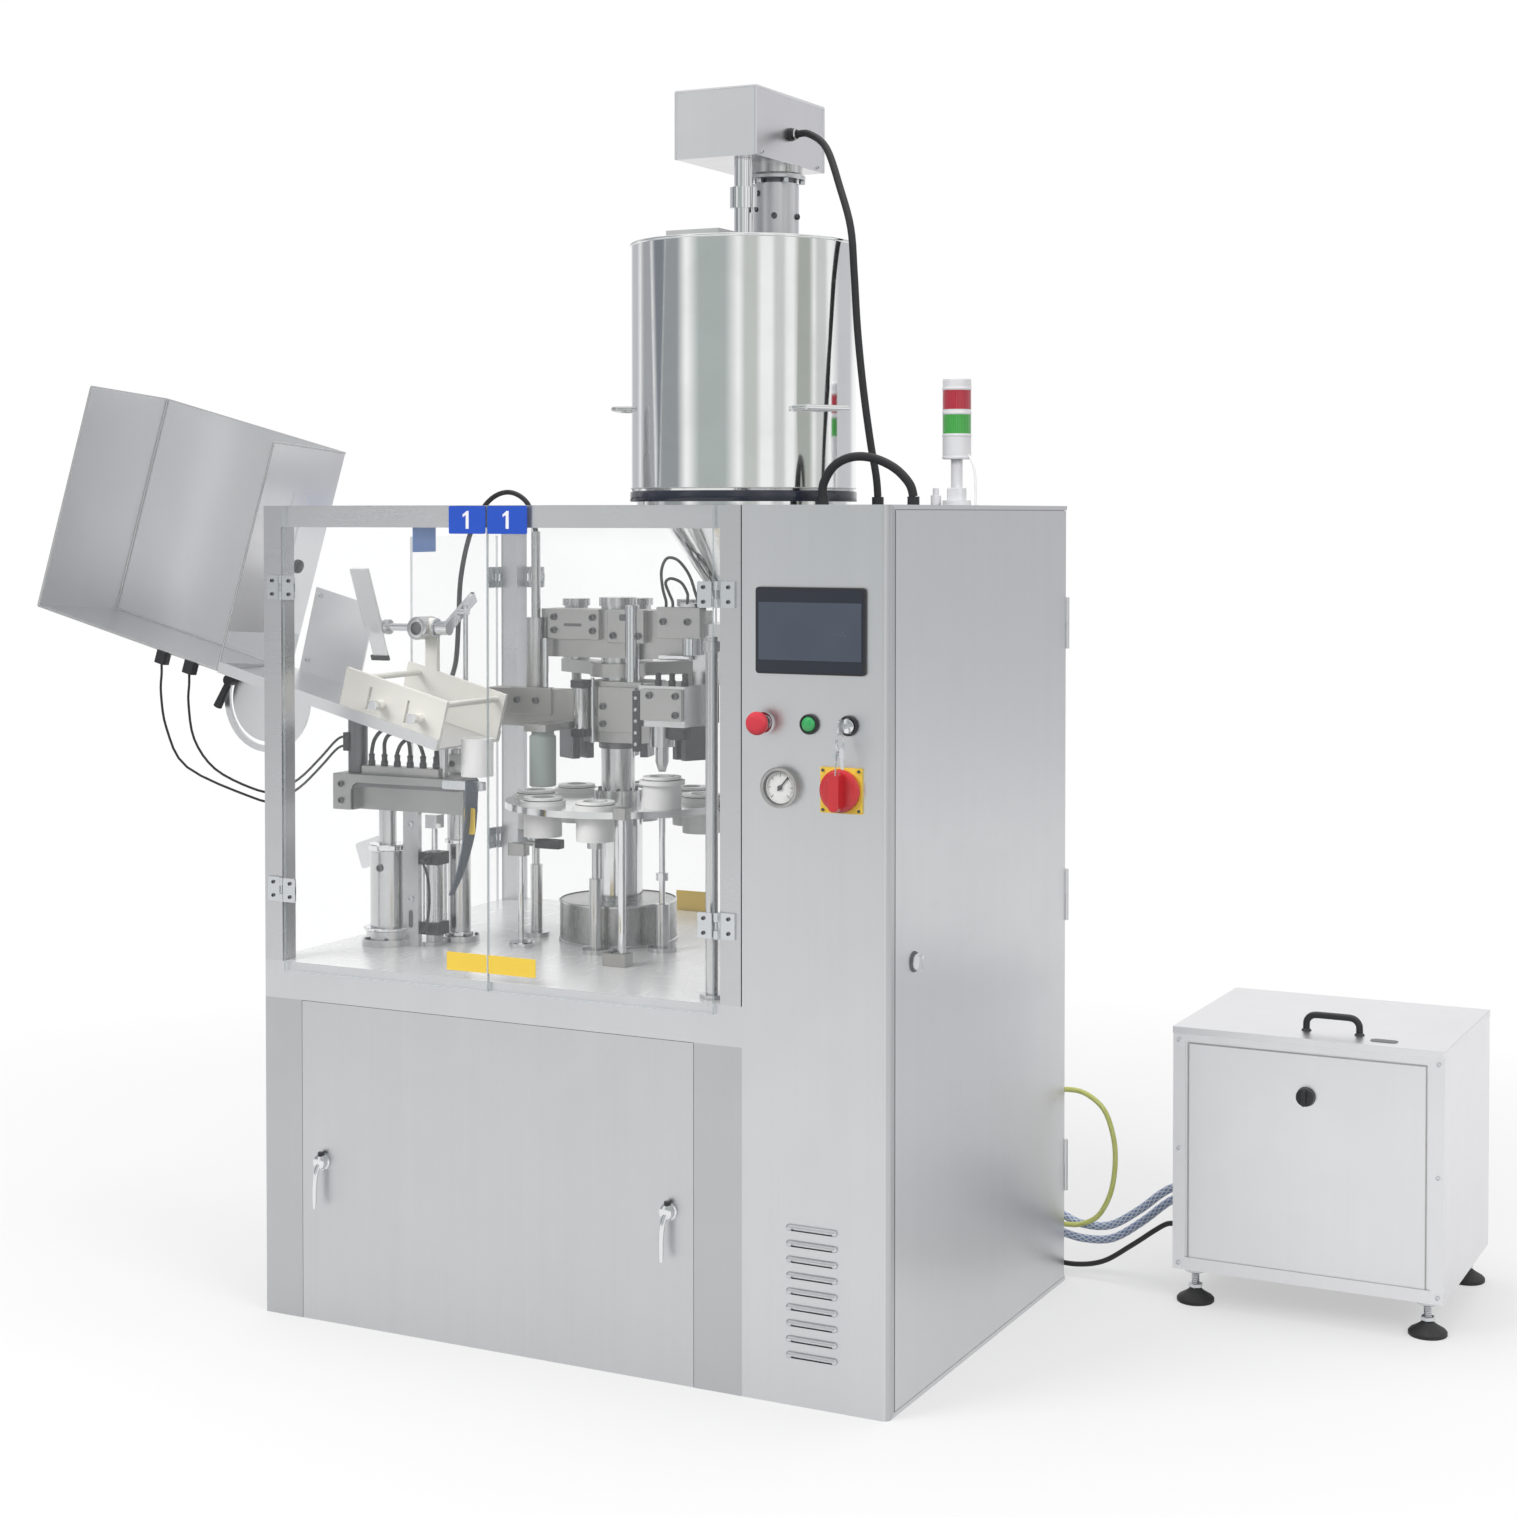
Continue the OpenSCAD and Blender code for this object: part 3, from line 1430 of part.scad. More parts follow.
module air_hose() {
    color([0.70, 0.80, 0.15])
        cord(smooth(air_route, 1), 6, [0.3, 0.2, 1]);
}

module water_hose_a() {
    color(blue)
        cord(smooth(water_route_a, 1), 8, [0.1, 0.1, 1]);
}

module water_hose_b() {
    color(blue)
        cord(smooth(water_route_b, 1), 8, [0.1, 0.1, 1]);
}

module chiller_cable() {
    color(black)
        cord(smooth(power_route, 1), 5, [0.1, 0.1, 1]);
}

base_shell();
deck();
guard_frame();
tower_shell();
control_plate();
door_hinges();
guard_door_left();
guard_door_right();
guard_door_side();
guard_door_rear_left();
guard_door_rear_right();
front_cover();
cover_handle_left();
cover_handle_right();
tower_door();
tower_lock();
hmi_panel();
panel_bezels();
estop_head();
start_button();
key_switch();
gauge_needle();
switch_plate();
switch_knob();
index_drive();
main_column();
head_beam();
station_heads();
press_ram();
fill_valve();
turntable();
tube_holders();
rear_holders();
lifted_holder();
lift_rod();
lift_guides();
hopper();
stirrer_drive();
stirrer();
magazine();
chute();
guide_plates();
rocker();
feed_flap();
feed_stand();
loader_cup();
cylinder_rod();
clamp_lever();
lamp_stem();
lamp_lenses();
chiller_shell();
chiller_fittings();
chiller_knob();
stirrer_cable();
hopper_hose();
feed_hose();
air_hose();
water_hose_a();
water_hose_b();
chiller_cable();
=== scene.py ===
"""Looks of the tube filling machine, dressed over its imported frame.

All places are in metres in the frame's axes: +X right along the front, +Y to the back, +Z up.
Numbers inside mm() and block() are in millimetres.
"""

import json
import math

import bmesh
import bpy
import numpy as np
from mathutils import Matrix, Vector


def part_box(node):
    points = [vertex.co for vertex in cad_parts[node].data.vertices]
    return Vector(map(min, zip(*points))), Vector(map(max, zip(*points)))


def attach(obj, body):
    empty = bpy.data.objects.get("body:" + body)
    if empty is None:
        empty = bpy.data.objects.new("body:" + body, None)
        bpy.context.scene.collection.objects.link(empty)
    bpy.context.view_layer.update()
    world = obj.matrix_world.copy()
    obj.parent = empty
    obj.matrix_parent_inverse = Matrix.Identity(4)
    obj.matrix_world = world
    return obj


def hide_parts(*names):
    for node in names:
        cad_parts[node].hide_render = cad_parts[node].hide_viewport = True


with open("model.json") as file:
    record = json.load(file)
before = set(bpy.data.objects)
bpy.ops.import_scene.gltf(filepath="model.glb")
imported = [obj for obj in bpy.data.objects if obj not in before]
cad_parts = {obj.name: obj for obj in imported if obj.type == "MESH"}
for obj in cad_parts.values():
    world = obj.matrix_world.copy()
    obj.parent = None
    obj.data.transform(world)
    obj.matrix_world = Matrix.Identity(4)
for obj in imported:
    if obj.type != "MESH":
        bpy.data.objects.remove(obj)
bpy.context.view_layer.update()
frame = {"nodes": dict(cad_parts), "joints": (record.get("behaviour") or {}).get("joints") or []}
nodes = frame["nodes"]

X, Y, Z = np.eye(3)


# Places read from the frame

def mm(*values):
    """A place, a size or a list of points given in millimetres: each number over 1000."""
    return np.array(values, float) / 1000


def low(node):
    """Lowest corner of a CAD node."""
    return np.array(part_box(node)[0])


def high(node):
    """Highest corner of a CAD node."""
    return np.array(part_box(node)[1])


def middle(node):
    """Middle of a CAD node's box: half the sum of its corners."""
    return (low(node) + high(node)) / 2


def joint_at(body):
    """The place of the joint that moves a body."""
    return np.array(next(joint["pos_m"] for joint in frame["joints"] if joint["child"] == body))


def hinge_line(body):
    """The point at floor height of the upright axis that a body turns about."""
    return joint_at(body) * (1, 1, 0)


GLAND_H = 0.016
KNUCKLE_R = 0.005
FRONT, BACK = low("base_shell")[1], high("base_shell")[1]
TOP_GLAND, BACK_GLAND = high("tower_shell")[2], high("tower_shell")[1]
TOP = TOP_GLAND - GLAND_H
TOWER_RIGHT = high("tower_door")[0] - KNUCKLE_R
DRIVE_GLAND = high("stirrer_drive")[0]
COOL_GLAND = low("chiller_shell")[0]
DECK = high("deck")[2] * Z
TABLE_AT = hinge_line("table")
HOPPER_AT = hinge_line("stirring")
PRESS_AT = middle("press_ram")[:2]


# Mesh makers: each gives points and blocks of faces, and piece() joins them into one object

def unit(v):
    """A direction of length one: the vector over its length."""
    v = np.asarray(v, float)
    return v / np.linalg.norm(v)


def across(axis):
    """Two directions square to an axis and to each other."""
    axis = unit(axis)
    guide = Z if abs(axis[2]) < 0.9 else X
    u = unit(np.cross(guide, axis))
    return u, np.cross(axis, u)


def grid_faces(rows, cols):
    """Four-sided faces between neighbouring rows of a grid whose last column joins the first."""
    i = np.arange(rows - 1)[:, None]
    j = np.arange(cols)[None, :]
    k = (j + 1) % cols
    corners = [i * cols + j, i * cols + k, (i + 1) * cols + k, (i + 1) * cols + j]
    return np.stack(corners, axis=-1).reshape(-1, 4)


def circle(r, sides):
    """Points evenly round a circle: r (cos a, sin a)."""
    a = np.linspace(0, 2 * np.pi, sides, endpoint=False)
    return r * np.stack([np.cos(a), np.sin(a)], axis=1)


def turned(profile, at, axis=Z, sides=40):
    """Profile of (radius, height) pairs turned round an axis: at + r (u cos a + v sin a) + h axis."""
    r, h = np.asarray(profile, float).T
    ring = circle(1, sides) @ np.stack(across(axis))
    points = np.asarray(at, float) + r[:, None, None] * ring + h[:, None, None] * unit(axis)
    return points.reshape(-1, 3), [grid_faces(len(r), sides)]


def collar(inner, outer, height, at, axis=Z, sides=40, edge=(0.001, 0.001)):
    """A ring between two radii whose outer corners are cut by an edge of (radius, height); inner 0 closes it."""
    side, end = edge
    half = [(inner, 0), (outer - side, 0), (outer, end)]
    return turned(half + [(r, height - h) for r, h in half[::-1]], at, axis, sides)


def bar(at, r, length, axis=Z, edge=0.0008, sides=24):
    """A closed round bar with a small chamfer at both ends."""
    return collar(0, r, length, at, axis, sides, (edge, edge))


def ring_section(radius, section, at, axis=Z, sides=40):
    """A round section carried round an axis: a torus of that radius."""
    a = np.linspace(0, 2 * np.pi, 13)
    return turned(np.stack([radius + section * np.cos(a), section * np.sin(a)], axis=1), at, axis, sides)


def extruded(outline, depth, at, u, v):
    """A flat outline in the u, v plane carried by a depth along u x v."""
    flat = np.asarray(outline, float)
    base = np.asarray(at, float) + flat[:, :1] * u + flat[:, 1:] * v
    count = len(flat)
    points = np.concatenate([base, base + depth * np.cross(u, v)])
    ends = [np.arange(count)[None, ::-1], count + np.arange(count)[None]]
    return points, [grid_faces(2, count)] + ends


def rounded(width, height, r, steps=6):
    """Outline of a rectangle about its middle with round corners: a quarter circle about each corner's centre."""
    a = np.linspace(0, np.pi / 2, steps)
    corners = []
    for quarter, (sx, sy) in enumerate(((1, 1), (-1, 1), (-1, -1), (1, -1))):
        q = a + quarter * np.pi / 2
        corners.append(np.stack([sx * (width / 2 - r) + r * np.cos(q), sy * (height / 2 - r) + r * np.sin(q)], axis=1))
    return np.concatenate(corners)


def slab(lo, hi, r=0.0, up=Z):
    """A block between two corners; r rounds the corners seen along up."""
    lo, hi = np.asarray(lo, float), np.asarray(hi, float)
    u, v = across(up)
    w = np.cross(u, v)
    width, height, depth = (abs((hi - lo) @ way) for way in (u, v, w))
    outline = rounded(width, height, max(r, 1e-5), 6 if r > 0 else 2)
    return extruded(outline, depth, (lo + hi) / 2 - w * depth / 2, u, v)


def block(lo, hi, r=0, up=Z, at=0.0):
    """A slab whose corners and corner radius are in millimetres, from a place."""
    return slab(at + mm(*lo), at + mm(*hi), r / 1000, up)


def repeated(part, places):
    """The same shape at many places: its points plus each place."""
    points, blocks = part
    places = np.asarray(places, float)
    shifts = np.arange(len(places)) * len(points)
    moved = (points[None] + places[:, None]).reshape(-1, 3)
    return moved, [(b[None] + shifts[:, None, None]).reshape(-1, b.shape[1]) for b in blocks]


def around(count, r, start=0.0):
    """Places evenly round an upright axis: r (cos t, sin t, 0) from a start angle."""
    t = start + np.arange(count) * 2 * np.pi / count
    return r * np.stack([np.cos(t), np.sin(t), 0 * t], axis=1)


def smooth_route(points, steps):
    """Catmull-Rom curve through the points of a route, with several steps for each stretch."""
    p = np.asarray(points, float)
    padded = np.concatenate([p[:1], p, p[-1:]])
    t = (np.arange(steps) / steps)[None, :, None]
    a, b, c, d = (padded[k:len(padded) - 3 + k, None] for k in range(4))
    curve = 0.5 * (2 * b + (c - a) * t + (2 * a - 5 * b + 4 * c - d) * t ** 2 + (3 * b - a - 3 * c + d) * t ** 3)
    return np.concatenate([curve.reshape(-1, 3), p[-1:]])


def carried_frames(path):
    """Side and up directions along a path, carried on without twist."""
    ways = np.gradient(path, axis=0)
    ways /= np.linalg.norm(ways, axis=1)[:, None]
    side = across(ways[0])[0]
    sides = []
    for way in ways:
        side = unit(side - (side @ way) * way)
        sides.append(side)
    sides = np.array(sides)
    return sides, np.cross(ways, sides)


def swept(path, section):
    """A section of (side, up) pairs carried along a path, with flat ends; it may change from point to point."""
    path = np.asarray(path, float)
    section = np.broadcast_to(section, (len(path),) + np.shape(section)[-2:])
    sides, ups = carried_frames(path)
    points = path[:, None] + section[..., :1] * sides[:, None] + section[..., 1:] * ups[:, None]
    rows, cols = points.shape[:2]
    ends = [np.arange(cols)[None, ::-1], (rows - 1) * cols + np.arange(cols)[None]]
    return points.reshape(-1, 3), [grid_faces(rows, cols)] + ends


def set_at(part, origin, u, v, w=Z):
    """A part made in its own axes, set at its place: origin + x u + y v + z w."""
    points, blocks = part
    return origin + points @ np.stack([u, v, w]), blocks


def cap_screw(at, r, axis):
    """Socket head screw: a short turned head with a round rim and a pocket."""
    h = 0.8 * r
    profile = [(0, 0.3 * h), (0.5 * r, 0.3 * h), (0.55 * r, h), (0.85 * r, h), (r, 0.8 * h), (r, 0), (0, 0)]
    return turned(profile, at, axis, 14)


def hex_nut(at, r, height, axis=Z):
    """Six-sided nut with chamfered corners."""
    return collar(0, r, height, at, axis, 6, (0.1 * r, 0.12 * height))


def show(name, mesh, finish, body, crisp, replaces):
    """Puts a mesh on show: smooth faces with edges crisp above an angle, one finish, riding on a body."""
    mesh.polygons.foreach_set("use_smooth", np.ones(len(mesh.polygons), bool))
    mesh.set_sharp_from_angle(angle=math.radians(crisp))
    mesh.materials.append(finish)
    obj = bpy.data.objects.new(name, mesh)
    bpy.context.collection.objects.link(obj)
    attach(obj, body)
    if replaces:
        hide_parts(replaces)
    return obj


def piece(name, parts, finish, body="machine", bevel=0.0, replaces=None):
    """One named object from its parts, with closed poles and outward faces, riding on a body."""
    points, faces, start = [], [], 0
    for part_points, blocks in parts:
        points.append(part_points)
        for faces_of_block in blocks:
            faces += (np.asarray(faces_of_block) + start).tolist()
        start += len(part_points)
    mesh = bpy.data.meshes.new(name)
    mesh.from_pydata(np.concatenate(points).tolist(), [], faces)
    shape = bmesh.new()
    shape.from_mesh(mesh)
    bmesh.ops.remove_doubles(shape, verts=shape.verts, dist=1e-6)
    bmesh.ops.dissolve_degenerate(shape, edges=shape.edges, dist=1e-7)
    bmesh.ops.recalc_face_normals(shape, faces=shape.faces)
    shape.to_mesh(mesh)
    shape.free()
    obj = show(name, mesh, finish, body, 35, replaces)
    if bevel:
        soft = obj.modifiers.new("soft_edges", "BEVEL")
        soft.width = bevel
        soft.segments = 3
        soft.limit_method = "ANGLE"
        soft.angle_limit = math.radians(50)
        soft.harden_normals = True


def screws(name, places, r, axis, finish=None, body="machine"):
    """One piece of equal socket head screws at several places, dark unless another finish is given."""
    piece(name, [cap_screw(p, r, axis) for p in places], finish or dark_steel_and_shade, body)


# Shared shader groups

def feed(node, **values):
    """Sets a node's sockets by name, or links them where the value is another node's socket."""
    for key, value in values.items():
        socket = node.inputs[key.replace("_", " ")]
        if isinstance(value, bpy.types.NodeSocket):
            node.id_data.links.new(value, socket)
        else:
            socket.default_value = value


def add(tree, kind, **settings):
    """A node with its settings; a key that is a socket's name sets or links that socket."""
    node = tree.nodes.new(kind)
    for key, value in settings.items():
        if hasattr(node, key):
            setattr(node, key, value)
        else:
            feed(node, **{key: value})
    return node


def math_node(tree, operation, *values):
    """A Math node on links or numbers, taken in order."""
    node = add(tree, "ShaderNodeMath", operation=operation)
    for socket, value in zip(node.inputs, values):
        if isinstance(value, bpy.types.NodeSocket):
            tree.links.new(value, socket)
        else:
            socket.default_value = value
    return node.outputs[0]


def spread(tree, value, lowest, highest, start=0.0, stop=1.0):
    """A Map Range node from start..stop to lowest..highest."""
    node = add(tree, "ShaderNodeMapRange", Value=value, From_Min=start, From_Max=stop, To_Min=lowest, To_Max=highest)
    return node.outputs["Result"]


def object_place(tree):
    """The Object coordinates of a point."""
    return add(tree, "ShaderNodeTexCoord").outputs["Object"]


def split(tree, vector):
    """The X, Y and Z of a vector."""
    return add(tree, "ShaderNodeSeparateXYZ", Vector=vector).outputs


def noise(tree, place, scale, detail, roughness=0.5, distortion=0.0):
    """Fractal noise at a place, from 0 to 1."""
    return add(tree, "ShaderNodeTexNoise", Vector=place, Scale=scale, Detail=detail, Roughness=roughness,
               Distortion=distortion).outputs["Fac"]


def shader_group(name, label, value, outputs):
    """An empty shader group with one input and named number outputs; gives its tree, that input and its end."""
    tree = bpy.data.node_groups.new(name, "ShaderNodeTree")
    kind = "NodeSocketVector" if isinstance(value, tuple) else "NodeSocketFloat"
    tree.interface.new_socket(name=label, in_out="INPUT", socket_type=kind).default_value = value
    for output in outputs:
        tree.interface.new_socket(name=output, in_out="OUTPUT", socket_type="NodeSocketFloat")
    return tree, tree.nodes.new("NodeGroupInput").outputs[label], tree.nodes.new("NodeGroupOutput")


def make_brushed():
    """Brushed grain: noise on Object coordinates stretched along one axis, from fine to broad lines."""
    tree, stretch, end = shader_group("brushed_grain", "Stretch", (1, 1, 1), ("Grain", "Bands"))
    scaled = add(tree, "ShaderNodeVectorMath", operation="MULTIPLY")
    tree.links.new(object_place(tree), scaled.inputs[0])
    tree.links.new(stretch, scaled.inputs[1])
    feed(end, Grain=noise(tree, scaled.outputs[0], 1.0, 5.0, 0.6), Bands=noise(tree, scaled.outputs[0], 0.05, 2.0, 0.6))
    return tree


def make_handling():
    """Handling marks: soft cloudy smears and a few fine scratches across them."""
    tree, scale, end = shader_group("handling_marks", "Scale", 7.0, ("Smears", "Scratches"))
    place = object_place(tree)
    cloud = noise(tree, place, scale, 6.0, 0.62, 0.6)
    turn = add(tree, "ShaderNodeMapping", Vector=place, Rotation=(0.5, 0.7, 0.4), Scale=(260.0, 9.0, 40.0))
    lines = noise(tree, turn.outputs["Vector"], 1.0, 2.0)
    feed(end, Smears=spread(tree, cloud, 0.0, 1.0, 0.35, 0.75), Scratches=spread(tree, lines, 0.0, 1.0, 0.66, 0.72))
    return tree


def make_dust():
    """Dust film: settles on faces that look up, broken by fine noise."""
    tree, amount, end = shader_group("dust_film", "Amount", 0.2, ("Dust",))
    normal = split(tree, add(tree, "ShaderNodeNewGeometry").outputs["Normal"])
    facing = spread(tree, normal["Z"], 0.0, 1.0, 0.4, 1.0)
    speckle = spread(tree, noise(tree, object_place(tree), 35.0, 6.0, 0.7), 0.2, 1.0, 0.3, 0.7)
    feed(end, Dust=math_node(tree, "MULTIPLY", math_node(tree, "MULTIPLY", facing, speckle), amount))
    return tree


def make_mould():
    """Moulded skin: a fine pebble grain with a slow change of tone."""
    tree, scale, end = shader_group("moulded_skin", "Scale", 900.0, ("Pebble", "Tone"))
    place = object_place(tree)
    pebble = add(tree, "ShaderNodeTexVoronoi", Vector=place, Scale=scale)
    feed(end, Pebble=pebble.outputs["Distance"], Tone=noise(tree, place, 14.0, 4.0))
    return tree


BRUSHED = make_brushed()
HANDLING = make_handling()
DUST = make_dust()
MOULD = make_mould()


# Finishes

STEEL_DUST = (0.62, 0.61, 0.58)
PLASTIC_DUST = (0.60, 0.59, 0.56)


def new_finish(name):
    """A material with its tree and its Principled shader."""
    finish = bpy.data.materials.new(name)
    finish.use_nodes = True
    return finish, finish.node_tree, finish.node_tree.nodes["Principled BSDF"]


def use(tree, group, **values):
    """The outputs of a shared group placed in a material with its own values."""
    node = add(tree, "ShaderNodeGroup", node_tree=group)
    feed(node, **values)
    return node.outputs


def two_tone(tree, factor, first, second):
    """A colour between two tones or links by a factor."""
    ends = [tone if isinstance(tone, bpy.types.NodeSocket) else (*tone, 1) for tone in (first, second)]
    return add(tree, "ShaderNodeMix", data_type="RGBA", Factor=factor, A=ends[0], B=ends[1]).outputs["Result"]


def relief(tree, shader, height, strength, distance=0.001):
    """A bump of that height on the shader's normal."""
    bump = add(tree, "ShaderNodeBump", Strength=strength, Distance=distance, Height=height)
    feed(shader, Normal=bump.outputs["Normal"])


def steel_finish(name, tone, rough, stretch, grain=0.05, depth=0.05, smears=0.06, dust=0.0, metal=1.0):
    """Stainless steel: tone and roughness follow the brushed grain, with smears, scratches and dust on top."""
    finish, tree, shader = new_finish(name)
    brushed, marks, film = use(tree, BRUSHED, Stretch=stretch), use(tree, HANDLING), use(tree, DUST, Amount=dust)
    tone = np.array(tone)
    bands = math_node(tree, "MULTIPLY", brushed["Bands"], 0.4)
    streaks = math_node(tree, "MULTIPLY_ADD", brushed["Grain"], 0.6, bands)
    colour = two_tone(tree, streaks, tone * (1 - grain), np.minimum(tone * (1 + grain), 1))
    shine = spread(tree, brushed["Grain"], rough - 0.05, rough + 0.05)
    smeared = math_node(tree, "MULTIPLY_ADD", marks["Smears"], smears, shine)
    scratched = math_node(tree, "MULTIPLY_ADD", marks["Scratches"], 0.04, smeared)
    feed(shader, Base_Color=two_tone(tree, film["Dust"], colour, STEEL_DUST), Metallic=metal,
         Roughness=math_node(tree, "ADD", scratched, film["Dust"]))
    relief(tree, shader, brushed["Grain"], depth)
    return finish


def mirror_finish(name, tone, rough, wave=0.03, scale=6.0):
    """Polished steel: slow waves of a hand-polished sheet, with faint smears."""
    finish, tree, shader = new_finish(name)
    marks = use(tree, HANDLING, Scale=11.0)
    tone = np.array(tone)
    smeared = math_node(tree, "MULTIPLY_ADD", marks["Smears"], 0.05, rough)
    feed(shader, Base_Color=two_tone(tree, marks["Smears"], tone, tone * 0.94), Metallic=1.0,
         Roughness=math_node(tree, "MULTIPLY_ADD", marks["Scratches"], 0.05, smeared))
    relief(tree, shader, noise(tree, object_place(tree), scale, 1.5), wave, 0.02)
    return finish


def plastic_finish(name, tone, rough, pebble=0.04, scale=900.0, change=0.05, coat=0.0, dust=0.0):
    """Moulded plastic, rubber or paint: fine pebble grain, slow change of tone, smears and dust."""
    finish, tree, shader = new_finish(name)
    skin, marks, film = use(tree, MOULD, Scale=scale), use(tree, HANDLING), use(tree, DUST, Amount=dust)
    tone = np.array(tone)
    colour = two_tone(tree, skin["Tone"], tone * (1 - change), np.minimum(tone * (1 + change), 1))
    feed(shader, Base_Color=two_tone(tree, film["Dust"], colour, PLASTIC_DUST), Coat_Weight=coat,
         Roughness=math_node(tree, "MULTIPLY_ADD", marks["Smears"], 0.08, rough))
    relief(tree, shader, skin["Pebble"], pebble, 0.0004)
    return finish


def clear_finish(name, tone, see, rough=0.03):
    """Clear acrylic sheet: mostly see-through, with faint wiping smears that catch the light."""
    finish, tree, shader = new_finish(name)
    smears = use(tree, HANDLING, Scale=4.0)["Smears"]
    feed(shader, Base_Color=two_tone(tree, smears, np.array(tone) * 0.97, tone), IOR=1.49,
         Roughness=spread(tree, smears, rough, rough + 0.06), Alpha=spread(tree, smears, see, see + 0.03))
    finish.surface_render_method = "BLENDED"
    return finish


def lens_finish(name, tone, ribs=40):
    """Coloured lamp lens: upright ribs, a sine of the angle round the lamp, darker between them: painted shade in the
    grooves.
    """
    finish, tree, shader = new_finish(name)
    x, y = middle("lamp_stem")[:2]
    centred = add(tree, "ShaderNodeMapping", Vector=object_place(tree), Location=(-x, -y, 0.0))
    turn = add(tree, "ShaderNodeTexGradient", gradient_type="RADIAL", Vector=centred.outputs["Vector"])
    wave = math_node(tree, "SINE", math_node(tree, "MULTIPLY", turn.outputs["Fac"], 2 * math.pi * ribs))
    height = spread(tree, wave, 0.0, 1.0, -1.0, 1.0)
    feed(shader, Base_Color=two_tone(tree, height, np.array(tone) * 0.72, tone), Roughness=0.18, Coat_Weight=0.6)
    relief(tree, shader, height, 0.5, 0.0008)
    return finish


def hose_finish(name, tone, thread, turns, pitch, weight):
    """Braided hose: two sets of threads cross on the hose's own UV map, under a smooth clear skin."""
    finish, tree, shader = new_finish(name)
    uv = split(tree, add(tree, "ShaderNodeUVMap", uv_map="along").outputs["UV"])
    round_it = math_node(tree, "MULTIPLY", uv["X"], 2 * math.pi * turns)
    along = math_node(tree, "MULTIPLY", uv["Y"], 2 * math.pi / pitch)
    right, left = (math_node(tree, "SINE", math_node(tree, way, round_it, along)) for way in ("ADD", "SUBTRACT"))
    threads = math_node(tree, "MAXIMUM", right, left)
    mask = spread(tree, threads, 0.0, weight, 0.55, 0.95)
    feed(shader, Base_Color=two_tone(tree, mask, tone, thread), Roughness=spread(tree, mask, 0.22, 0.42),
         Coat_Weight=0.5)
    relief(tree, shader, threads, 0.25, 0.0006)
    return finish


def screen_finish(name):
    """Switched-off touch screen: a slow cool sheen under a glossy face."""
    finish, tree, shader = new_finish(name)
    slow = noise(tree, object_place(tree), 7.0, 2.0)
    smears = use(tree, HANDLING, Scale=22.0)["Smears"]
    feed(shader, Base_Color=two_tone(tree, slow, (0.050, 0.062, 0.092), (0.075, 0.088, 0.115)),
         Roughness=spread(tree, smears, 0.12, 0.3))
    return finish


STEEL_TONE = np.array([0.66, 0.665, 0.68])
UPRIGHT = (420.0, 420.0, 3.0)
LENGTHWISE = (3.0, 420.0, 420.0)
DEEPWISE = (420.0, 3.0, 420.0)
COARSE = (90.0, 90.0, 90.0)

sheet = steel_finish("sheet_steel", STEEL_TONE, 0.34, UPRIGHT)
# A darker copy of the sheet steel: painted shade, on the base and on the tower's side return near the front.
base_sheet = steel_finish("base_sheet", STEEL_TONE * 0.80, 0.34, UPRIGHT)
cover_sheet = steel_finish("cover_sheet", STEEL_TONE * 0.92, 0.36, UPRIGHT, grain=0.06)
rail_steel = steel_finish("rail_steel", STEEL_TONE * 0.90, 0.27, LENGTHWISE)
bright_sheet = steel_finish("bright_sheet", (0.80, 0.80, 0.815), 0.34, UPRIGHT, grain=0.04)
can_steel = steel_finish("can_steel", (0.36, 0.36, 0.355), 0.24, UPRIGHT, grain=0.10, depth=0.08)
table_steel = mirror_finish("table_steel", (0.76, 0.76, 0.765), 0.12, 0.005)
deck_steel = steel_finish("deck_steel", (0.80, 0.80, 0.805), 0.24, LENGTHWISE, grain=0.01, depth=0.0015,
                          smears=0.01, dust=0.02, metal=0.35)
machined = steel_finish("machined_alloy", (0.47, 0.465, 0.455), 0.36, DEEPWISE, grain=0.08, depth=0.04)
cast = steel_finish("cast_alloy", (0.42, 0.42, 0.415), 0.44, COARSE, grain=0.08, depth=0.12)
# A darker copy of the cast alloy: painted shade in the recess of the cast arm's front.
cast_web = steel_finish("cast_web", (0.22, 0.22, 0.225), 0.46, COARSE, grain=0.1, depth=0.14)
mirror = mirror_finish("mirror_steel", (0.84, 0.85, 0.85), 0.07, 0.05, 3.5)
polished = mirror_finish("polished_steel", (0.62, 0.62, 0.625), 0.20, 0.01)
chrome = mirror_finish("chrome", (0.78, 0.785, 0.80), 0.06, 0.004)
zinc = steel_finish("zinc_plate", (0.66, 0.68, 0.70), 0.24, (160.0, 160.0, 160.0))
# Blackened steel for screws and dark parts; also put as a dark sheet of painted shade in gaps, slots and bores.
dark_steel_and_shade = steel_finish("blackened_steel", (0.16, 0.16, 0.17), 0.36, UPRIGHT, grain=0.1)
clear = clear_finish("clear_sheet", (0.93, 0.96, 0.97), 0.035)
clear_edge = clear_finish("clear_edge", (0.50, 0.56, 0.58), 0.62, 0.12)
frosted = clear_finish("frosted_flap", (0.80, 0.81, 0.82), 0.62, 0.25)
white = plastic_finish("white_plastic", (0.86, 0.86, 0.85), 0.34, 0.02, 500.0, 0.02, dust=0.05)
lamp_white = plastic_finish("lamp_body", (0.72, 0.72, 0.74), 0.40, 0.03, 900.0, 0.02)
cream = plastic_finish("pale_coat", (0.78, 0.765, 0.71), 0.42, 0.05, 700.0, 0.04)
black = plastic_finish("black_plastic", (0.018, 0.018, 0.021), 0.36, 0.06, 1200.0, 0.15, dust=0.10)
rubber = plastic_finish("black_rubber", (0.016, 0.016, 0.018), 0.52, 0.08, 1500.0, 0.2, dust=0.08)
red = plastic_finish("red_plastic", (0.56, 0.020, 0.028), 0.26, 0.01, 900.0, 0.06, coat=0.4)
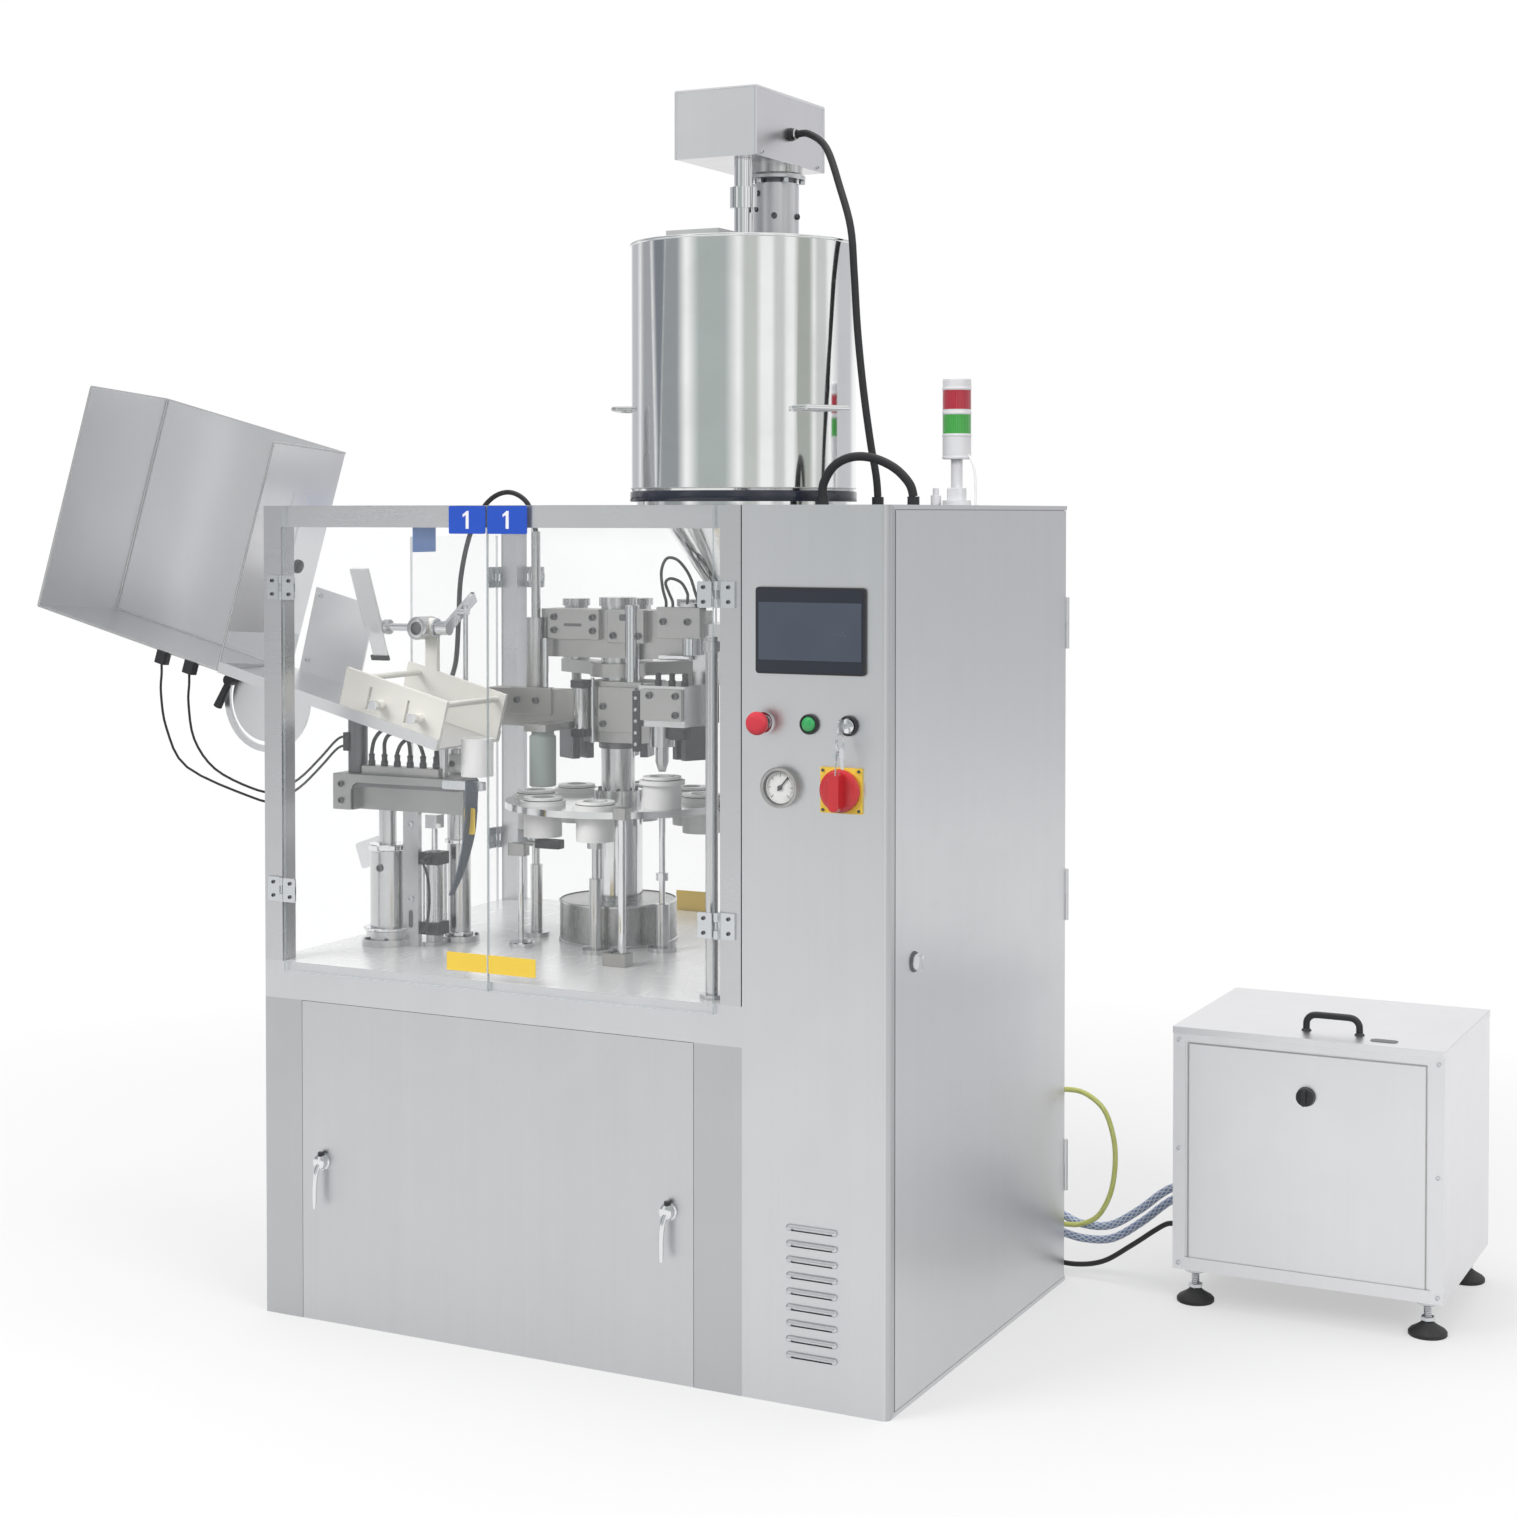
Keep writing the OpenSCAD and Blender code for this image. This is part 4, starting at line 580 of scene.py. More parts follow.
stop_red = plastic_finish("stop_red", (0.60, 0.035, 0.055), 0.38, 0.02, 900.0, 0.05)
green = plastic_finish("green_plastic", (0.03, 0.36, 0.10), 0.22, 0.01, 900.0, 0.08, coat=0.5)
yellow = plastic_finish("yellow_plate", (0.86, 0.60, 0.07), 0.40, 0.03, 900.0, 0.05)
blue = plastic_finish("blue_tag", (0.010, 0.075, 0.50), 0.34, 0.02, 900.0, 0.06)
tag_white = plastic_finish("tag_figure", (0.84, 0.85, 0.88), 0.40, 0.02, 900.0, 0.02)
dial_white = plastic_finish("dial_face", (0.82, 0.82, 0.80), 0.45, 0.01, 900.0, 0.02)
drive_paint = plastic_finish("drive_paint", (0.14, 0.19, 0.24), 0.42, 0.10, 600.0, 0.06, dust=0.2)
sleeve = plastic_finish("grey_sleeve", (0.30, 0.35, 0.33), 0.38, 0.03, 700.0, 0.06)
strap = plastic_finish("grey_strap", (0.075, 0.095, 0.125), 0.45, 0.05, 700.0, 0.12)
pale_blue = plastic_finish("pale_tag", (0.13, 0.29, 0.72), 0.34, 0.02, 900.0, 0.06)
panel_glass = plastic_finish("panel_glass", (0.020, 0.024, 0.036), 0.10, 0.0, 900.0, 0.1)
screen = screen_finish("touch_screen")
red_lens = lens_finish("red_lens", (0.50, 0.012, 0.04))
green_lens = lens_finish("green_lens", (0.05, 0.42, 0.06))
braided = hose_finish("braided_hose", (0.20, 0.28, 0.48), (0.70, 0.73, 0.78), 6, 0.016, 0.95)
air_line = hose_finish("air_line", (0.52, 0.56, 0.15), (0.64, 0.67, 0.30), 2, 0.05, 0.3)


# Camera, light and floor

CAMERA_AT = (2.2884, -4.1691, 1.5037)
CAMERA_TURN, CAMERA_DIP = 26.80, 1.284
LENS, SENSOR, SHIFT_UP = 58.94, 36.0, -0.1242

# Strength of the room's white as light on the object and as seen in it
ROOM_LIGHT, ROOM_SEEN = 0.72, 1.0

# The floor: its half size, its light share and its own share of white, and where it starts and ends to turn white
FLOOR_HALF = 40.0
FLOOR_TONE, FLOOR_OWN = 0.36, 0.48
FLOOR_NEAR, FLOOR_FAR = 1.4, 3.2

# Grey cards: direction seen from above in degrees, half their spread in degrees, tone
CARDS = (
    (-172, 24, (0.40, 0.41, 0.43)),
    (-143, 20, (0.33, 0.35, 0.36)),
    (-94, 26, (0.46, 0.50, 0.49)),
    (-55, 11, (0.60, 0.62, 0.60)),
    (-26, 8, (0.66, 0.66, 0.66)),
    (1, 12, (0.44, 0.46, 0.43)),
    (22, 10, (0.66, 0.66, 0.66)),
    (62, 24, (0.62, 0.62, 0.64)),
    (150, 18, (0.55, 0.56, 0.58)),
)
CARD_SPAN, CARD_DISTANCE = (-0.2, 9.0), 8.0


def set_camera():
    """The camera at its place: turned about the upright axis, dipped a little, with its picture shifted."""
    data = bpy.data.cameras.new("camera")
    data.lens = LENS
    data.sensor_width = SENSOR
    data.shift_y = SHIFT_UP
    data.clip_end = 100.0
    camera = bpy.data.objects.new("camera", data)
    camera.location = CAMERA_AT
    camera.rotation_euler = (math.radians(90 - CAMERA_DIP), 0, math.radians(CAMERA_TURN))
    bpy.context.collection.objects.link(camera)
    bpy.context.scene.camera = camera


def seen_directly(tree):
    """1 on rays from the camera, a mirror or clear plastic, 0 on the light that falls on the object."""
    path = add(tree, "ShaderNodeLightPath").outputs
    shiny = math_node(tree, "MAXIMUM", path["Is Camera Ray"], path["Is Glossy Ray"])
    return math_node(tree, "MAXIMUM", shiny, path["Is Transmission Ray"])


def set_world():
    """A white room: one strength as light, another where it is seen."""
    world = bpy.data.worlds.new("studio")
    world.use_nodes = True
    bpy.context.scene.world = world
    tree = world.node_tree
    feed(tree.nodes["Background"], Color=(1, 1, 1, 1),
         Strength=spread(tree, seen_directly(tree), ROOM_LIGHT, ROOM_SEEN))


def set_lamp(name, place, aim, size, power):
    """A large soft area lamp aimed at a point; metal mirrors the room round it, not the lamp."""
    data = bpy.data.lights.new(name, "AREA")
    data.shape = "RECTANGLE"
    data.size, data.size_y = size
    data.energy = power
    lamp = bpy.data.objects.new(name, data)
    lamp.location = place
    lamp.visible_glossy = False
    away = np.array(place) - np.array(aim)
    lamp.rotation_euler = (math.acos(away[2] / np.linalg.norm(away)), 0, math.atan2(away[0], -away[1]))
    bpy.context.collection.objects.link(lamp)


def add_stage(name, corners, finish):
    """A flat four-sided piece of the set with a plain UV map, not part of the object."""
    mesh = bpy.data.meshes.new(name)
    mesh.from_pydata([list(c) for c in corners], [], [(0, 1, 2, 3)])
    mesh.uv_layers.new(name="card").data.foreach_set("uv", [0, 0, 1, 0, 1, 1, 0, 1])
    mesh.materials.append(finish)
    obj = bpy.data.objects.new(name, mesh)
    bpy.context.collection.objects.link(obj)
    return obj


def set_floor():
    """A wide pale floor: close by, part of its white is its own and the rest keeps the shadow; far out it is white."""
    finish, tree, shader = new_finish("pale_floor")
    reach = add(tree, "ShaderNodeVectorMath", operation="LENGTH")
    tree.links.new(object_place(tree), reach.inputs[0])
    out = spread(tree, reach.outputs["Value"], 0.0, 1.0, FLOOR_NEAR, FLOOR_FAR)
    own = spread(tree, out, FLOOR_OWN, 1.0)
    feed(shader, Base_Color=two_tone(tree, out, (FLOOR_TONE,) * 3, (0, 0, 0)), Roughness=0.75, Specular_IOR_Level=0.0,
         Emission_Color=(1, 1, 1, 1), Emission_Strength=math_node(tree, "MULTIPLY", seen_directly(tree), own))
    add_stage("floor", FLOOR_HALF * np.array([(-1, -1, 0), (1, -1, 0), (1, 1, 0), (-1, 1, 0)]), finish)


def card_finish(name, tone):
    """A grey card that fades to white towards its sides and its foot."""
    finish, tree, shader = new_finish(name)
    uv = split(tree, add(tree, "ShaderNodeUVMap", uv_map="card").outputs["UV"])
    off = math_node(tree, "ABSOLUTE", math_node(tree, "SUBTRACT", uv["X"], 0.5))
    body = spread(tree, off, 1.0, 0.0, 0.25, 0.5)
    foot = spread(tree, uv["Y"], 0.0, 1.0, 0.0, 0.08)
    colour = two_tone(tree, math_node(tree, "MULTIPLY", body, foot), (1, 1, 1), tone)
    feed(shader, Base_Color=(0, 0, 0, 1), Specular_IOR_Level=0.0, Emission_Color=colour, Emission_Strength=1.0)
    return finish


def set_card(name, turn, feet, heads, span, distance, tone):
    """One grey card: at a direction, its half spread in degrees at its foot and its head, between two heights."""
    a = math.radians(turn)
    out = np.array([math.cos(a), math.sin(a), 0]) * distance
    side = np.array([-math.sin(a), math.cos(a), 0]) * distance
    foot, head = (math.tan(math.radians(half)) * side for half in (feet, heads))
    corners = [out + edge + height * Z for edge, height in
               ((-foot, span[0]), (foot, span[0]), (head, span[1]), (-head, span[1]))]
    card = add_stage(name, corners, card_finish(f"grey_{name}", tone))
    card.visible_camera = False
    card.visible_diffuse = False
    card.visible_shadow = False
    card.visible_transmission = False


bpy.context.scene.view_settings.view_transform = "Standard"
set_camera()
set_world()
set_floor()
for number, (turn, half, tone) in enumerate(CARDS):
    set_card(f"card_{number}", turn, half, half, CARD_SPAN, CARD_DISTANCE, tone)
set_card("leaning_card", -160, 2.5, 14, (1.5, 3.2), 7.6, (0.22, 0.24, 0.27))
set_lamp("key", (-2.6, -4.2, 4.2), (0, 0, 0.9), (3.0, 2.2), 205)
set_lamp("fill", (4.4, -2.4, 3.0), (0.3, 0, 0.9), (2.6, 2.6), 95)
set_lamp("overhead", (0, 0.4, 5.2), (0, 0, 0.6), (4.0, 3.0), 100)


# Cords: each follows its listed route from end to end

HOSE_SIDES = 20


def hose(name, route, radius, finish, steps=6, node=None):
    """A round hose along a smooth route, with a UV map round it and along it."""
    path = smooth_route(route, steps)
    points, blocks = swept(path, circle(radius, HOSE_SIDES))
    mesh = bpy.data.meshes.new(name)
    mesh.from_pydata(points.tolist(), [], [f for b in blocks for f in b.tolist()])
    along = np.concatenate([[0], np.cumsum(np.linalg.norm(np.diff(path, axis=0), axis=1))])
    i, j = np.divmod(np.arange((len(path) - 1) * HOSE_SIDES), HOSE_SIDES)
    u = np.stack([j, j + 1, j + 1, j], axis=1) / HOSE_SIDES
    v = np.stack([along[i], along[i], along[i + 1], along[i + 1]], axis=1)
    uv = np.zeros((len(mesh.loops), 2))
    uv[: u.size] = np.stack([u.ravel(), v.ravel()], axis=1)
    mesh.uv_layers.new(name="along").data.foreach_set("uv", uv.ravel())
    obj = show(name, mesh, finish, "machine", 50, node)


hose("drive_lead", np.concatenate([
    np.array([DRIVE_GLAND, 0.175, 2.240]) + mm(
        (0, 0, 0), (28, -3, -2), (75, -25, -35), (125, -70, -120), (163, -105, -200), (177, -120, -285),
        (187, -127, -390), (201, -132, -500), (217, -135, -600), (229, -135, -665)),
    [(0.410, 0.040, TOP_GLAND)],
]), 0.007, rubber, 5, node="stirrer_cable")
hose("heater_lead", [
    (0.345, -0.060, TOP_GLAND), (0.346, -0.060, 1.560), (0.366, -0.058, 1.592), (0.400, -0.054, 1.608),
    (0.440, -0.049, 1.606), (0.480, -0.044, 1.588), (0.508, -0.041, 1.560), (0.516, -0.040, TOP_GLAND),
], 0.0082, rubber, 6, "hopper_hose")
hose("press_line", [
    (-0.500, -0.058, 1.150), (-0.501, -0.040, 1.152), (-0.506, -0.010, 1.168), (-0.514, 0.025, 1.210),
    (-0.521, 0.045, 1.290), (-0.516, 0.047, 1.380), (-0.490, 0.045, 1.470), (-0.445, 0.040, 1.530),
    (-0.392, 0.032, 1.548), (-0.344, 0.025, 1.526), (*PRESS_AT, 1.470),
], 0.005, rubber, 6, "feed_hose")
hose("air_supply", [
    (0.600, BACK_GLAND, 0.362), (0.602, 0.466, 0.363), (0.622, 0.480, 0.364), (0.660, 0.484, 0.360),
    (0.700, 0.484, 0.332), (0.720, 0.484, 0.280), (0.724, 0.484, 0.225), (0.714, 0.484, 0.165),
    (0.688, 0.484, 0.118), (0.652, 0.484, 0.098), (0.620, 0.480, 0.095), (0.602, 0.466, 0.095),
    (0.600, BACK_GLAND, 0.095),
], 0.0052, air_line, 5, "air_hose")
hose("water_supply", np.concatenate([
    np.array([0.575, BACK_GLAND, 0.128]) + mm(
        (0, 0, 0), (2, 26, -2), (25, 54, -16), (70, 64, -36), (130, 64, -32), (190, 58, 6), (235, 54, 44),
        (261, 54, 61)),
    [(COOL_GLAND, 0.500, 0.192)],
]), 0.008, braided, node="water_hose_a")
hose("water_return", [
    (0.575, BACK_GLAND, 0.084), (0.577, 0.478, 0.082), (0.600, 0.506, 0.072), (0.645, 0.520, 0.060),
    (0.705, 0.526, 0.066), (0.765, 0.530, 0.106), (0.810, 0.530, 0.145), (0.836, 0.530, 0.162),
    (COOL_GLAND, 0.530, 0.165),
], 0.008, braided, node="water_hose_b")
hose("cooler_lead", [
    (0.545, BACK_GLAND, 0.040), (0.547, 0.464, 0.038), (0.574, 0.471, 0.028), (0.640, 0.467, 0.022),
    (0.705, 0.465, 0.036), (0.765, 0.465, 0.076), (0.810, 0.465, 0.110), (0.836, 0.465, 0.127),
    (COOL_GLAND, 0.465, 0.130),
], 0.005, rubber, node="chiller_cable")


# Finishes of the CAD parts

def dress(node, *finishes):
    """Gives a CAD part its finishes; later ones are (finish, test) on the faces' middles and normals."""
    mesh = nodes[node].data
    mesh.materials.clear()
    mesh.materials.append(finishes[0])
    count = len(mesh.polygons)
    centres, normals = np.zeros(count * 3), np.zeros(count * 3)
    mesh.polygons.foreach_get("center", centres)
    mesh.polygons.foreach_get("normal", normals)
    centres, normals = centres.reshape(-1, 3), normals.reshape(-1, 3)
    index = np.zeros(count, np.int32)
    for number, (finish, test) in enumerate(finishes[1:], 1):
        mesh.materials.append(finish)
        index[test(centres, normals)] = number
    mesh.polygons.foreach_set("material_index", index)


for finish, parts in (
    # The base gets the darker copy of the sheet steel: painted shade.
    (base_sheet, ("base_shell",)),
    (sheet, ("tower_door",)),
    (cover_sheet, ("front_cover",)),
    (bright_sheet, ("magazine", "chute")),
    (zinc, ("door_hinges",)),
    (chrome, ("tower_lock", "press_ram", "lift_rod", "cylinder_rod", "stirrer", "rocker", "panel_bezels")),
    (polished, ("lift_guides", "fill_valve")),
    (table_steel, ("turntable",)),
    (mirror, ("hopper",)),
    (machined, ("head_beam",)),
    (white, ("tube_holders", "rear_holders", "lifted_holder", "loader_cup")),
    (black, ("hmi_panel", "gauge_needle", "clamp_lever", "chiller_fittings", "chiller_knob")),
    (yellow, ("switch_plate",)),
    (drive_paint, ("index_drive",)),
    (cream, ("guide_plates",)),
    (frosted, ("feed_flap",)),
    (lamp_white, ("lamp_stem",)),
):
    for node in parts:
        dress(node, finish)

# Limits of the faces with a finish of their own
GLAND_ROOT = 0.001
RETURN_DEPTH = 0.05
COOL_GLAND_LENGTH = 0.015
BOARD_PARTS = mm(400, 0, 750)
CAN_R, CAN_TOP = 0.05, 0.748
TOOL_LOW, TOOL_HIGH = 1.079, 1.213
PEDESTAL_H = 0.179
CAST_LOW, CAST_HIGH = 0.9299, 1.0001
CAST_FRONT, CAST_BACK = -0.22, -0.15
AIR = mm(-440, -162, 0)
AIR_HALF = 0.021
AIR_CAPS, AIR_CAP_HALF = (0.702, 0.838), 0.0125


def on_cast(c):
    """True on faces of the feed's cast arm: between its lower and upper face and in front of the columns."""
    return (c[:, 2] > CAST_LOW) & (c[:, 2] < CAST_HIGH) & (c[:, 1] < CAST_BACK)


def on_air_caps(c):
    """True on faces of the air cylinder's two end caps."""
    near = (np.abs(c[:, :2] - AIR[:2]) < AIR_HALF).all(axis=1)
    return near & np.any([np.abs(c[:, 2] - z) < AIR_CAP_HALF for z in AIR_CAPS], axis=0)


# The tower's side return near the front gets the darker copy of the sheet steel: painted shade.
dress("tower_shell", sheet, (base_sheet, lambda c, n: (n[:, 0] > 0.5) & (c[:, 1] < FRONT + RETURN_DEPTH)),
      (black, lambda c, n: (c[:, 1] > BACK + GLAND_ROOT) | (c[:, 2] > TOP + GLAND_ROOT)))
dress("chiller_shell", bright_sheet, (black, lambda c, n: c[:, 0] < COOL_GLAND + COOL_GLAND_LENGTH))
dress("deck", deck_steel, (sheet, lambda c, n: np.abs(n[:, 2]) < 0.5))
dress("guard_frame", rail_steel, (black, lambda c, n: c[:, 2] > TOP + GLAND_ROOT))
dress("control_plate", white, (dark_steel_and_shade, lambda c, n: (c[:, 0] > BOARD_PARTS[0]) & (c[:, 2] > BOARD_PARTS[2])))
for side in ("left", "right", "rear_left", "rear_right"):
    dress(f"guard_door_{side}", clear, (clear_edge, lambda c, n: np.abs(n[:, 1]) < 0.5))
dress("guard_door_side", clear, (clear_edge, lambda c, n: np.abs(n[:, 0]) < 0.5))
dress("main_column", polished,
      (can_steel, lambda c, n: (np.hypot(*(c - TABLE_AT).T[:2]) > CAN_R) & (c[:, 2] < CAN_TOP)))
dress("station_heads", machined, (polished, lambda c, n: c[:, 2] > TOOL_HIGH),
      (dark_steel_and_shade, lambda c, n: c[:, 2] < TOOL_LOW))
dress("stirrer_drive", bright_sheet, (machined, lambda c, n: n[:, 2] < -0.5),
      (polished, lambda c, n: c[:, 2] < low("stirrer_drive")[2] + PEDESTAL_H))
# The cast arm's recessed front faces get the darker cast alloy: painted shade in the recess.
dress("feed_stand", polished, (cast, lambda c, n: on_cast(c)),
      (cast_web, lambda c, n: on_cast(c) & (c[:, 1] < CAST_FRONT) & (n[:, 1] < -0.5)),
      (black, lambda c, n: on_air_caps(c)))
dress("lamp_lenses", green_lens, (red_lens, lambda c, n: c[:, 2] > middle("lamp_lenses")[2]))


# Clear doors: hinge leaves, screws, tags and plates

HINGE_FEET = mm(780, 1345)[:, None] * Z
HINGE_SCREW_Z = (10, 35)
DOOR_WAYS = {
    "left_door": (X, Y), "right_door": (-X, Y), "side_door": (-Y, X),
    "rear_left_door": (X, -Y), "rear_right_door": (-X, -Y),
}
FIGURE_ONE = mm((-2.6, -16), (3.6, -16), (3.6, 16), (-0.6, 16), (-9, 9.5), (-9, 4.8), (-2.6, 8.6))


def on_hinge(parts, body):
    """Parts made along a door and inward from it, set on the door's hinge line."""
    return [set_at(part, hinge_line(body), *DOOR_WAYS[body]) for part in parts]


for body in DOOR_WAYS:
    leaves = [block((6, -4.8, 0), (34, -1, 45), 3, Y, foot) for foot in HINGE_FEET]
    piece(f"{body}_hinge_leaves", on_hinge(leaves, body), zinc, body, bevel=0.0006)
    for kind, x, y, carrier in (("leaf", 22, -4.8, body), ("post", -22, 3, "machine")):
        heads = [cap_screw(mm(x, y, z) + foot, 0.0034, -Y) for foot in HINGE_FEET for z in HINGE_SCREW_Z]
        piece(f"{body}_{kind}_screws", on_hinge(heads, body), dark_steel_and_shade, carrier)

for body, x0, x1 in (("left_door", -219, -141), ("right_door", -137, -54)):
    piece(f"{body}_tag", [block((x0, -438.9, 1469), (x1, -437.9, 1519), 3, Y)], blue, body)
    piece(f"{body}_tag_figure", [extruded(FIGURE_ONE, 0.0004, mm((x0 + x1) / 2, -438.8, 1494), X, Z)], tag_white, body)
for body, x0, x1 in (("left_door", -226, -141), ("right_door", -137, -38)):
    piece(f"{body}_plate", [block((x0, -438.8, 683), (x1, -437.9, 716), 2, Y)], yellow, body)
piece("side_door_tag", [block((-648.9, 68, 1426), (-647.9, 151, 1478), 3, X)], pale_blue, "side_door")
piece("rear_door_plate", [block((-234, 437.9, 654), (-162, 438.8, 708), 2, Y)], yellow, "rear_left_door")


# Control panel on the tower

HMI_SIZE = high("hmi_panel") - low("hmi_panel")
HMI_X, _, HMI_Z = middle("hmi_panel")
STOP_X, START_X = middle("estop_head")[0], middle("start_button")[0]
SWITCH_Z = middle("estop_head")[2]
KEY_X = joint_at("key")[0]
MAIN_X, _, MAIN_Z = middle("switch_plate")
GAUGE_X = joint_at("needle")[0]
PLATE_SCREW = 0.033
RING_PROFILE = ((13.4, 1), (13.4, 7), (14.4, 7.8), (16.2, 7), (17.2, 5), (17.2, 0), (13.4, 0))
BOW = rounded(0.023, 0.026, 0.009)
SPARE = mm((-8, 0), (-8, 18), (-4, 26), (4, 26), (8, 18), (8, 0), (4, -4), (3.4, -30), (0, -33), (-3.4, -30), (-4, -4))


def on_panel(x, z, out=0.0):
    """A place on the tower's front face, or out from it."""
    return np.array([x, FRONT - out, z])


def face_slab(x, z, width, height, out, r):
    """A plate with round corners on the panel, between two distances out from it."""
    half = (width / 2, height / 2)
    return slab(on_panel(x - half[0], z - half[1], out[1]), on_panel(x + half[0], z + half[1], out[0]), r, Y)


def panel_turned(x, z, profile, sides=40):
    """A profile of (radius, distance out) in millimetres turned about an axis square to the panel."""
    return turned(mm(*profile), on_panel(x, z), -Y, sides)


def gauge_turned(name, profile, finish):
    """A turned piece of the gauge."""
    piece(name, [panel_turned(GAUGE_X, MAIN_Z, profile, 64)], finish)


def gauge_tick(i, a):
    """One stroke of the dial at an angle from its top; each fifth one is longer and wider."""
    wide, foot = (0.6, 18) if i % 5 == 0 else (0.35, 21)
    return set_at(block((-wide, -0.2, foot), (wide, 0.2, 24.5)), on_panel(GAUGE_X, MAIN_Z, 0.0069),
                  math.cos(a) * X - math.sin(a) * Z, Y, math.sin(a) * X + math.cos(a) * Z)


piece("touch_panel_case", [
    face_slab(HMI_X, HMI_Z, HMI_SIZE[0], HMI_SIZE[2], (0, 0.006), 0.006),
    face_slab(HMI_X, HMI_Z, 0.190, 0.133, (-0.040, 0.001), 0.002),
], black, bevel=0.0014, replaces="hmi_panel")
piece("touch_panel_glass", [face_slab(HMI_X, HMI_Z, 0.196, 0.139, (0.0055, 0.0064), 0.004)], panel_glass)
piece("touch_panel_field", [face_slab(HMI_X, HMI_Z - 0.001, 0.190, 0.097, (0.0060, 0.0067), 0.002)], screen)

piece("stop_head", [panel_turned(STOP_X, SWITCH_Z, (
    (0, 35), (10, 34.8), (16, 33.6), (19, 31.2), (20, 28), (19.8, 24), (18.4, 21), (12, 20), (0, 20),
))], stop_red, "stop_head", replaces="estop_head")
piece("stop_neck", [panel_turned(STOP_X, SWITCH_Z, (
    (0, -12), (6, -12), (6, 14), (10.5, 14), (11.5, 15), (11.5, 19), (12.5, 20.5), (0, 20.5),
))], chrome, "stop_head")
piece("start_lens", [panel_turned(START_X, SWITCH_Z, (
    (0, 10.8), (6, 10.4), (10.5, 9.2), (12.6, 7), (13, 4.5), (6, 4.5), (6, -12), (0, -12),
))], green, "start", replaces="start_button")
piece("switch_rings", [panel_turned(x, SWITCH_Z, RING_PROFILE) for x in (START_X, KEY_X)], black)
piece("key_barrel", [panel_turned(KEY_X, SWITCH_Z, (
    (0, 9.5), (9, 9.5), (12, 8.4), (12.5, 6.5), (12.5, 2.3), (6, 2.3), (6, -12), (0, -12),
))], chrome, "key", replaces="key_switch")
piece("keys", [
    extruded(BOW, 0.0024, on_panel(KEY_X - 0.0012, SWITCH_Z, 0.0325), Y, Z),
    slab(on_panel(KEY_X - 0.0012, SWITCH_Z - 0.004, 0.022), on_panel(KEY_X + 0.0012, SWITCH_Z + 0.004, 0.007)),
    ring_section(0.0150, 0.0014, on_panel(KEY_X, SWITCH_Z - 0.026, 0.036), X),
    ring_section(0.0090, 0.0009, on_panel(KEY_X + 0.002, SWITCH_Z - 0.030, 0.050), X + 0.6 * Y),
    extruded(SPARE * 0.75, 0.0018, on_panel(KEY_X - 0.003, SWITCH_Z - 0.054, 0.046),
             unit(Y - 0.25 * X), unit(Z + 0.15 * Y)),
    extruded(SPARE * 0.65, 0.0018, on_panel(KEY_X + 0.001, SWITCH_Z - 0.050, 0.034),
             unit(Y + 0.5 * X), unit(Z - 0.2 * Y)),
], zinc, "key", bevel=0.0004)

gauge_turned("gauge_rim", (
    (28.6, 11), (28.6, 14), (30, 15.6), (32, 15.8), (34, 14.5), (34.6, 12), (34.2, 0), (28.6, 0)), machined)
gauge_turned("gauge_shade", ((27.0, 6.4), (27.4, 10.8), (29.2, 11.4), (29.2, 6.2)), dark_steel_and_shade)
gauge_turned("gauge_dial", ((0, 6.8), (28.6, 6.8), (28.6, 5.9), (0, 5.9)), dial_white)
piece("gauge_ticks", [gauge_tick(i, a) for i, a in enumerate(np.radians(np.linspace(-135, 135, 31)))], black)
gauge_turned("gauge_glass", ((0, 12.8), (18, 12.7), (28.4, 12.2), (28.4, 11.2), (0, 11.8)), clear)

piece("main_knob", [
    panel_turned(MAIN_X, MAIN_Z, (
        (0, 15), (28, 15), (33.5, 14), (36, 11.5), (36.4, 8), (35.4, 5.4), (33, 4.4), (6, 4.4), (6, -20), (0, -20),
    ), 64),
    face_slab(MAIN_X, MAIN_Z, 0.019, 0.066, (0.012, 0.036), 0.008),
], red, "main_switch", bevel=0.0016, replaces="switch_knob")
screws("main_plate_screws", [on_panel(MAIN_X + x, MAIN_Z + z, 0.004) for x in (-PLATE_SCREW, PLATE_SCREW)
                             for z in (-PLATE_SCREW, PLATE_SCREW)], 0.0026, -Y)


# Cover handles, louvres and lock

LEVER_ROUTE = mm((0, -9, 2), (-2, -13, -6), (-4, -17, -18), (-5, -19, -34), (-5.5, -20, -52), (-5, -21, -70),
                 (-4, -23, -84))
LEVER_HUB = mm((0, 17), (8, 16.8), (12, 15.4), (13.4, 12.5), (13.4, 5), (16, 3.6), (16, 0.4), (8, 0.4), (8, -18),
               (0, -18))
LEVER_OVAL = circle(1, 16) * (1.0, 0.72)
LOUVRE_X, LOUVRE_HALF, LOUVRE_R = 0.500, 0.042, 0.0059
LOUVRE_Z = 0.086 + 0.027 * np.arange(9)
DOOR_LO, DOOR_HI = low("tower_door"), high("tower_door")
LOCK_AT = np.array([TOWER_RIGHT, *joint_at("lock")[1:]])

for side in ("left", "right"):
    node, body = f"cover_handle_{side}", f"{side}_handle"
    at = on_panel(middle(node)[0], joint_at(body)[2])
    path = smooth_route(at + LEVER_ROUTE, 5)
    widths = np.interp(np.linspace(0, 1, len(path)), [0, 0.25, 0.8, 1], mm(7.8, 6.2, 5.6, 4.2))
    piece(f"{body}_lever", [
        turned(LEVER_HUB, at, -Y),
        swept(path, LEVER_OVAL * widths[:, None, None]),
        block((-8, 12.3, -60), (8, 18, 0), 4, Y, at),
    ], chrome, body, replaces=node)
    piece(f"{body}_cap", [bar(at + mm(0, -8, 11), 0.0055, 0.008)], black, body)

